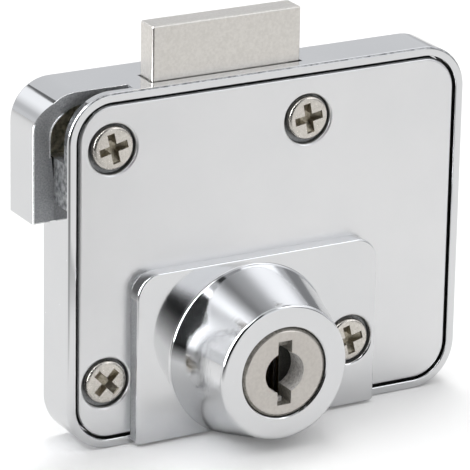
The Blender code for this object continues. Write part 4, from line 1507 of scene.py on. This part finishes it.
@dataclass
class KeyPlug:
    """Turned plug with its keyhole, keyway, wafer slots and flatted tail."""

    head_radius: float = 6.0
    front: float = -18.33
    chamfer: float = 0.3
    # Small steps of the head's edge, inwards and along the axis
    glint: Point = (0.12, 0.084)
    rim_step: Point = (0.02, 0.05)
    shoulder: float = -16.65
    radius: float = 5.5
    rear: float = -7.4
    tail_radius: float = 2.4
    tail_flat: float = 1.9
    tail_end: float = -5.0
    clip_groove: Point = (-5.65, -5.15)
    keyway: Span = Span(-1.0, 1.0, -19.25, -8.4, -4.35, 4.35)
    keyway_corner: float = 0.12
    keyway_slack: float = 0.1
    keyhole_radius: float = 2.8
    keyhole_depth: float = 3.3
    keyway_head: float = 3.45
    head_depth: float = 1.0
    foot_ribs: tuple[float, ...] = (-17.0, -15.9)
    rib: Span = Span(-1.1, 0.35, 0.0, 0.4, -4.55, -3.75)
    wafers: int = 5
    first_wafer: float = -14.4
    wafer_pitch: float = 1.4125
    wafer_slot: Span = Span(-2.65, 2.65, -0.55, 0.55, -7.0, 7.0)
    spring_slot: Span = Span(0.0, 3.95, -0.55, 0.55, -3.575, 1.35)
    edge: float = 0.06

    def blank(self) -> BMesh:
        """Turn the plug's outside.

        Returns:
            The solid plug, with the clip's groove round its tail.
        """
        rim, edge = self.head_radius - self.chamfer, self.front + self.chamfer
        groove_front, groove_back = self.clip_groove
        profile = [(0.0, self.front)]
        profile += [(rim - self.glint[0], self.front), (rim, self.front + self.glint[1])]
        profile += [(self.head_radius - self.rim_step[0], edge), (self.head_radius, edge + self.rim_step[1])]
        profile += [(self.head_radius, self.shoulder), (self.radius, self.shoulder)]
        profile += [(self.radius, self.rear), (self.tail_radius, self.rear)]
        profile += [(self.tail_radius, groove_front), (self.tail_flat, groove_front)]
        profile += [(self.tail_flat, groove_back), (self.tail_radius, groove_back)]
        profile += [(self.tail_radius, self.tail_end), (0.0, self.tail_end)]
        return turned(profile, (0.0, 0.0), steps=160)

    def steps(self, finishes: Finishes) -> list[Step]:
        """List the tools that complete the plug.

        Args:
            finishes: The finishes of the lock.

        Returns:
            The tools in order.
        """
        head = replace(self.keyway, back=self.front + self.head_depth, bottom=0.0).shape()
        keyway = replace(self.keyway, top=self.keyway_head).shape()
        round_upright(keyway, self.keyway_corner, segments=4)
        before, bottom = self.front - PAST, self.front + self.keyhole_depth
        keyhole = rod(self.keyhole_radius, before, bottom, (0.0, 0.0), steps=96)
        steps = [
            Step(Cut.REMOVE, head, finishes.keyway),
            Step(Cut.REMOVE, keyway, finishes.keyway),
            Step(Cut.REMOVE, keyhole, finishes.bore),
        ]
        for front in self.foot_ribs:
            steps.append(Step(Cut.ADD, self.rib.along(front).shape(), finishes.bore))
        for index in range(self.wafers):
            middle = self.first_wafer + index * self.wafer_pitch
            for slot in (self.wafer_slot, self.spring_slot):
                # The wafer and spring slots are painted near-black, as painted shade
                steps.append(Step(Cut.REMOVE, slot.along(middle).shape(), finishes.shade))
        reach = self.tail_radius + PAST
        for left, right in ((-reach, -self.tail_flat), (self.tail_flat, reach)):
            flat = Span(left, right, self.rear, self.tail_end + PAST, -reach, reach)
            steps.append(Step(Cut.REMOVE, flat.shape()))
        return steps

    def darken(self, work: BMesh) -> None:
        """Paint the keyhole's bottom near-black and the head's rim in the keyway's finish, both as painted
        shade.

        Args:
            work: The worked plug, whose faces change their slots.
        """
        for face in work.faces:
            middle = face.calc_center_median()
            if abs(middle.y - self.front - self.keyhole_depth) < NEAR:
                face.material_index = PlugFace.SHADE
            # The head's rim and chamfer are painted darker, as painted shade round the plug
            elif from_axis(middle) > self.head_radius - self.chamfer + self.rim_step[0]:
                face.material_index = PlugFace.KEYWAY

    def build(self, finishes: Finishes) -> Item:
        """Build and dress the plug.

        Args:
            finishes: The finishes of the lock.

        Returns:
            The piece.
        """
        slots = slots_of(PlugFace, finishes)
        work = carve("plug_barrel", self.blank(), slots, self.steps(finishes))
        self.darken(work)
        reach = self.keyway.top + self.keyway_slack
        round_rim(work, self.front, self.edge, segments=2, near=lambda middle: from_axis(middle) < reach)
        return finish_piece("plug_barrel", work, slots, Body.PLUG, "plug")


@dataclass
class SlideBolt:
    """Flat bolt with a wide head, a notch beside the top right screw and a crank slot."""

    left: float = -12.6
    right: float = 8.8
    top: float = 44.2
    front: float = -5.2
    back: float = -1.8
    fillet: float = 0.28
    head_bottom: float = 18.9
    notch_x: float = 7.35
    notch_top: float = 36.75
    tail_left: float = -6.95
    tail_bottom: float = -0.15
    relief: Span = Span(-7.95, 8.35, -6.2, -4.5, -1.15, 9.35)
    crank_slot: Span = Span(1.45, 5.19, -6.2, -0.8, 1.45, 4.05)

    def build(self, finishes: Finishes) -> Item:
        """Build and dress the bolt.

        Args:
            finishes: The finishes of the lock.

        Returns:
            The piece.
        """
        outline = [
            (self.tail_left, self.tail_bottom),
            (self.notch_x, self.tail_bottom),
            (self.notch_x, self.notch_top),
            (self.right, self.notch_top),
            (self.right, self.top),
            (self.left, self.top),
            (self.left, self.head_bottom),
            (self.tail_left, self.head_bottom),
        ]
        work = prism(outline, self.front, self.back)
        bevel(work, work.edges, self.fillet, segments=4)
        steps = [Step(Cut.REMOVE, span.shape()) for span in (self.relief, self.crank_slot)]
        slots = [finishes.bolt]
        work = carve("bolt_bar", work, slots, steps)
        return finish_piece("bolt_bar", work, slots, Body.BOLT, "bolt")


@dataclass
class PanScrew:
    """Pan-head screw with a tapered cross recess and a cut thread."""

    seat: ScrewSeat
    head_radius: float = 2.88
    head_height: float = 0.9
    rounding: float = 0.45
    # Place on the flat of the head, as a share of its radius, with the fall there, and at its edge
    crown: Point = (0.75, 0.02)
    crown_foot: float = 0.05
    under_round: float = 0.08
    core_radius: float = 1.2
    tip: float = 0.3
    cross_span: float = 4.05
    cross_arm: float = 1.06
    # How much wider and higher than the recess its tool starts
    cross_mouth: Point = (0.1, 0.6)
    end_depth: float = 0.32
    end_slope: float = 0.1
    floor_span: float = 1.5
    cross_depth: float = 1.15
    arm_draft: float = 0.86
    thread_radius: float = 1.5
    thread_root: float = 0.1
    thread_start: float = 0.35
    thread_half: float = 0.2
    thread_facets: int = 20
    plain: float = 1.2
    pitch: float = 0.5

    def head(self) -> BMesh:
        """Model the head with the core of its shank.

        Returns:
            The turned solid, its axis on Y through zero and the underside of its head at zero.
        """
        top, length, small = -self.head_height, self.seat.length, self.under_round
        edge = self.head_radius - self.rounding
        profile = [(0.0, top), (edge * self.crown[0], top + self.crown[1])]
        profile += arc((edge, top + self.crown_foot + self.rounding), self.rounding, -90.0, 0.0, steps=8)
        profile += arc((self.head_radius - small, -small), small, 0.0, 90.0, steps=3)
        profile += [(self.core_radius, 0.0), (self.core_radius, length - self.tip)]
        profile += [(self.core_radius - self.tip, length), (0.0, length)]
        return turned(profile, (0.0, 0.0), steps=96)

    def cross(self) -> list[BMesh]:
        """Model the tools of the cross recess.

        Returns:
            Two arms, steep at their ends and sloping down to the middle.
        """
        top = -self.head_height
        end = self.cross_span / 2
        half = [
            (end + self.cross_mouth[0], top - self.cross_mouth[1]),
            (end, top),
            (end - self.end_slope, top + self.end_depth),
            (self.floor_span / 2, top + self.cross_depth),
        ]
        outline = half + [(-along, y) for along, y in reversed(half)]
        arms = []
        for quarter in (0.0, math.pi / 2):
            upright = prism(outline, -self.cross_arm / 2, self.cross_arm / 2)
            for vert in upright.verts:
                along, across, y = vert.co.x, vert.co.y, vert.co.z
                share = 1.0 - (1.0 - self.arm_draft) * max(0.0, y - top) / self.cross_depth
                vert.co = (along, y, across * share)
            bmesh.ops.reverse_faces(upright, faces=upright.faces)
            upright.normal_update()
            arms.append(moved_to(upright, Matrix.Rotation(quarter, 4, "Y")))
        return arms

    def thread(self) -> BMesh:
        """Model the ridge of the thread.

        Returns:
            The ridge, closed at both ends.
        """
        turns = int((self.seat.length - self.plain) / self.pitch)
        steps = self.thread_facets * turns
        root = self.core_radius - self.thread_root
        half = self.thread_half
        work = bmesh.new()
        verts = []
        for radius, along in ((root, 0.0), (self.thread_radius, half), (root, half + half)):
            verts.append(work.verts.new((radius, self.thread_start + along, 0.0)))
        face = work.faces.new(verts)
        bmesh.ops.spin(
            work,
            geom=[*verts, *face.edges, face],
            cent=(0.0, 0.0, 0.0),
            axis=(0.0, 1.0, 0.0),
            dvec=(0.0, self.pitch * turns / steps, 0.0),
            angle=math.tau * turns,
            steps=steps,
            use_duplicate=False,
        )
        bmesh.ops.recalc_face_normals(work, faces=work.faces)
        return work

    def build(self, finishes: Finishes) -> Item:
        """Build and dress the screw.

        Args:
            finishes: The finishes of the lock.

        Returns:
            The piece.
        """
        seat, slots = self.seat, [finishes.screw, finishes.recess]
        name = seat.name + "_dressed"
        steps = [Step(Cut.REMOVE, tool, finishes.recess) for tool in self.cross()]
        work = carve(name, self.head(), slots, steps)
        ridge = self.thread()
        mesh = bpy.data.meshes.new(name)
        ridge.to_mesh(mesh)
        ridge.free()
        work.from_mesh(mesh)
        bpy.data.meshes.remove(mesh)
        middle = Vector((seat.centre[0] + seat.shift[0], seat.under, seat.centre[1] + seat.shift[1]))
        turn = Matrix.Rotation(math.radians(seat.roll), 4, "Y")
        moved_to(work, Matrix.Translation(middle) @ turn)
        return finish_piece(name, work, slots, Body.CASE, seat.name)


def dress_works(finishes: Finishes) -> None:
    """Give the kept CAD nodes, which sit inside the lock, their finishes.

    Args:
        finishes: The finishes of the lock.
    """
    for name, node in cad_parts.items():
        if not name.startswith(("cam", "wafer_")):
            continue
        finish = finishes.steel if name.startswith(("cam", "wafer_spring")) else finishes.brass
        node.data.materials.clear()
        node.data.materials.append(finish)
        LOG.info("%s: kept from the CAD model, %s", name, finish.name)


# Studio


@dataclass(frozen=True)
class Panel:
    """Bright or dark patch of the studio, seen only in the metal.

    Bearing is measured from +Y towards +X and height from the horizon, both in degrees. The level is
    that of the white floor times a share.
    """

    bearing: float
    half_bearing: float
    height: float
    half_height: float
    level: float
    soft: float = 4.0


@dataclass
class Studio:
    """White sweep, soft light and camera of the picture."""

    lens: float = 294.10
    sensor: float = 36.0
    clip_start: float = 0.01
    camera_place: tuple[float, float, float] = (-0.22892, -0.41278, 0.18170)
    turn: float = -29.29
    tip: float = 19.68
    roll: float = 1.04
    floor_z: float = -0.0109
    floor_reach: float = 3.0
    floor_parts: int = 8
    floor_rough: float = 0.9
    floor_white: Tint = (0.985, 0.985, 0.985)
    floor_seen: float = 0.81
    floor_glow: float = 0.15
    dark_bearing: float = -145.0
    dark_half: float = 35.0
    dark_soft: float = 8.0
    dark_from: float = 0.05
    dark_fall: float = 1.4
    dome_low: float = 0.05
    dome_high: float = 1.42
    dome_from: float = 20.0
    dome_to: float = 65.0
    key_watts: float = 3.1
    key_size: float = 0.36
    key_place: tuple[float, float, float] = (0.14, 0.19, 0.85)
    cool: Tint = (0.985, 1.0, 1.03)
    around: float = 0.72
    zenith: float = 0.8
    zenith_from: float = 60.0
    zenith_to: float = 80.0
    panels: tuple[Panel, ...] = (
        Panel(-40.0, 24.0, 41.0, 18.0, 1.16, 13.0),
        Panel(-68.0, 8.0, 18.0, 10.0, 0.90, 6.0),
        Panel(15.0, 20.0, 56.0, 8.0, 0.42),
        Panel(43.0, 8.0, 38.0, 13.0, 1.12),
        Panel(45.0, 7.0, 6.0, 10.0, 0.28),
        Panel(-9.0, 2.5, 42.0, 12.0, 0.16, 1.5),
        Panel(-40.0, 25.0, 8.5, 1.0, 0.62, 5.0),
        Panel(-90.0, 16.0, 32.0, 28.0, 14.0, 3.0),
        Panel(-124.0, 15.0, 63.0, 9.0, 3.8, 3.0),
        Panel(90.0, 34.0, 50.0, 20.0, 1.10, 8.0),
        Panel(98.0, 26.0, 60.0, 4.5, 0.22, 2.0),
        Panel(170.0, 22.0, 62.0, 12.0, 0.46, 6.0),
        Panel(-169.0, 7.0, 62.0, 8.0, 0.05, 5.0),
        Panel(-146.0, 28.0, 5.0, 30.0, 0.20, 10.0),
        Panel(-125.0, 14.0, 24.0, 26.0, 0.02, 3.0),
        Panel(-152.0, 31.0, 21.0, 28.0, 0.03, 6.0),
        Panel(160.0, 16.0, 8.0, 14.0, 1.05, 6.0),
        Panel(134.0, 12.0, 6.0, 8.0, 0.34, 4.0),
        Panel(136.0, 12.0, 40.0, 13.0, 1.9, 5.0),
    )

    def camera(self) -> None:
        """Make the camera of the photograph."""
        data = bpy.data.cameras.new("studio_camera")
        data.sensor_fit = "HORIZONTAL"
        data.sensor_width = self.sensor
        data.lens = self.lens
        data.clip_start = self.clip_start
        item = bpy.data.objects.new("studio_camera", data)
        bpy.context.scene.collection.objects.link(item)
        turn = Matrix.Rotation(math.radians(self.turn), 4, "Z")
        tip = Matrix.Rotation(math.radians(90.0 - self.tip), 4, "X")
        roll = Matrix.Rotation(math.radians(self.roll), 4, "Z")
        item.matrix_world = Matrix.Translation(self.camera_place) @ turn @ tip @ roll
        bpy.context.scene.camera = item

    def bearing_of(self, graph: Graph, place: Socket) -> Socket:
        """Lay the nodes that turn a place or direction into its bearing in degrees."""
        parts = graph.lay("SeparateXYZ", {0: place}).outputs
        return graph.math("DEGREES", graph.math("ARCTAN2", parts[0], parts[1]))

    def floor(self) -> None:
        """Lay the white floor, which the metal sees fall into the dark in front of the lock."""
        work = bmesh.new()
        place = Matrix.Translation((0.0, 0.0, self.floor_z))
        parts = self.floor_parts
        bmesh.ops.create_grid(work, x_segments=parts, y_segments=parts, size=self.floor_reach, matrix=place)
        material = bpy.data.materials.new("white sweep")
        material.use_nodes = True
        tree = material.node_tree
        graph = Graph(tree)
        shader = tree.nodes["Principled BSDF"]
        shader.inputs["Roughness"].default_value = self.floor_rough
        shader.inputs["Specular IOR Level"].default_value = 0.0
        spot = graph.spot()
        flat = graph.lay("VectorMath", {0: spot, 1: (1.0, 1.0, 0.0)}, operation="MULTIPLY").outputs[0]
        reach = graph.lay("VectorMath", {0: flat}, operation="LENGTH").outputs["Value"]
        fall = graph.math("POWER", graph.math("DIVIDE", self.dark_from, reach), self.dark_fall)
        offset = graph.math("SUBTRACT", self.bearing_of(graph, spot), self.dark_bearing)
        off_dark = graph.math("ABSOLUTE", graph.math("WRAP", offset, 180.0, -180.0))
        lit = graph.spread(off_dark, self.dark_half, self.dark_half + self.dark_soft)
        level = graph.math("MAXIMUM", lit, graph.math("MINIMUM", fall, 1.0))
        dimmed = graph.blend(level, BLACK, colour((self.floor_seen,) * 3))
        path = graph.lay("LightPath").outputs
        seen = graph.blend(path["Is Glossy Ray"], colour(self.floor_white), dimmed)
        graph.feed(shader.inputs["Base Color"], seen)
        glow = graph.lay("Emission", {"Color": WHITE, "Strength": 1.0})
        share = graph.math("MULTIPLY", path["Is Camera Ray"], self.floor_glow)
        mixed = graph.lay("MixShader", {0: share, 1: shader.outputs[0], 2: glow.outputs[0]})
        graph.feed(tree.nodes["Material Output"].inputs["Surface"], mixed.outputs[0])
        working_object("white_sweep", work, [material])

    def key_light(self) -> None:
        """Hang the soft key light high up, behind and a little to the left."""
        data = bpy.data.lights.new("soft_key", "AREA")
        data.shape = "RECTANGLE"
        data.size = self.key_size
        data.size_y = self.key_size
        data.energy = self.key_watts
        item = bpy.data.objects.new("soft_key", data)
        bpy.context.scene.collection.objects.link(item)
        place = Vector(self.key_place)
        item.matrix_world = Matrix.Translation(place) @ place.to_track_quat("Z", "Y").to_matrix().to_4x4()
        item.visible_glossy = False
        item.visible_camera = False

    @staticmethod
    def panel_group() -> Tree:
        """Build the group that masks one patch of the studio.

        Returns:
            The group: Bearing, Height, their middles and half widths and Soft give a Mask.
        """
        measures = ("Bearing", "Height")
        labels = [part + measure for measure in measures for part in ("", "Middle ", "Half ")]
        group = Group("studio panel", dict.fromkeys([*labels, "Soft"], 0.0), "Mask")
        given = group.given
        masks = []
        for what in measures:
            offset = group.math("SUBTRACT", given[what], given["Middle " + what])
            if what == "Bearing":
                offset = group.math("WRAP", offset, 180.0, -180.0)
            inner = group.math("SUBTRACT", given["Half " + what], group.math("ABSOLUTE", offset))
            share = group.math("DIVIDE", group.math("ADD", inner, given["Soft"]), given["Soft"])
            node = group.lay("MapRange", {"Value": share}, clamp=True, interpolation_type="SMOOTHSTEP")
            masks.append(node.outputs[0])
        return group.ended(group.math("MULTIPLY", *masks))

    def tinted(self, level: float) -> tuple[float, float, float, float]:
        """Give a grey level the slight coolness of the studio."""
        return colour(tuple(level * part for part in self.cool))

    def world(self) -> None:
        """Build the studio's surroundings: white to the camera, panels and darkness to the metal."""
        world = bpy.data.worlds.new("white_studio")
        bpy.context.scene.world = world
        world.use_nodes = True
        world.cycles.sampling_method = "NONE"
        tree = world.node_tree
        tree.nodes.clear()
        graph = Graph(tree)
        way = graph.lay("TexCoord").outputs["Generated"]
        bearing = self.bearing_of(graph, way)
        height = graph.math("DEGREES", graph.math("ARCSINE", graph.lay("SeparateXYZ", {0: way}).outputs[2]))
        overhead = graph.spread(height, self.zenith_from, self.zenith_to)
        seen = graph.blend(overhead, self.tinted(self.around), self.tinted(self.zenith))
        group = self.panel_group()
        for panel in self.panels:
            values = {
                "Bearing": bearing,
                "Height": height,
                "Middle Bearing": panel.bearing,
                "Half Bearing": panel.half_bearing,
                "Middle Height": panel.height,
                "Half Height": panel.half_height,
                "Soft": panel.soft,
            }
            seen = graph.blend(graph.place(group, values), seen, self.tinted(panel.level))
        path = graph.lay("LightPath").outputs
        rise = graph.spread(height, self.dome_from, self.dome_to, self.dome_low, self.dome_high)
        dome = graph.lay("CombineXYZ", {0: rise, 1: rise, 2: rise}).outputs[0]
        shown = graph.blend(path["Is Glossy Ray"], dome, seen)
        shown = graph.blend(path["Is Camera Ray"], shown, WHITE)
        background = graph.lay("Background", {"Color": shown, "Strength": 1.0})
        graph.lay("OutputWorld", {"Surface": background.outputs[0]})

    def set_up(self) -> None:
        """Set up the floor, the lights, the surroundings, the camera and the view."""
        self.floor()
        self.key_light()
        self.world()
        self.camera()
        bpy.context.scene.view_settings.view_transform = "Standard"
        LOG.info("studio: floor, soft key light, surroundings and camera")


SEATS = (
    ScrewSeat("cover_screw_top_left", (-19.1, 29.5), -7.1, 5.6, -13.0, (0.1, 0.1)),
    ScrewSeat("cover_screw_top_right", (9.1, 29.5), -7.1, 5.6, -10.0, (0.12, 0.12)),
    ScrewSeat("cover_screw_bottom_left", (-19.9, -1.9), -7.1, 5.6, -45.0, (0.1, 0.1)),
    ScrewSeat("flange_screw", (15.05, -1.3), -9.0, 5.8, -14.0),
)


def main() -> None:
    """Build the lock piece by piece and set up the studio."""
    logging.basicConfig(level=logging.INFO, format="%(name)s: %(message)s")
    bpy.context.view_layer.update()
    finishes = Finishes()
    CaseCasting().build(SEATS, finishes)
    CoverPlate().build(SEATS, finishes)
    CylinderHousing().build(SEATS[-1], finishes)
    KeyPlug().build(finishes)
    SlideBolt().build(finishes)
    for seat in SEATS:
        PanScrew(seat).build(finishes)
    dress_works(finishes)
    Studio().set_up()


if __name__ == "__main__":
    main()
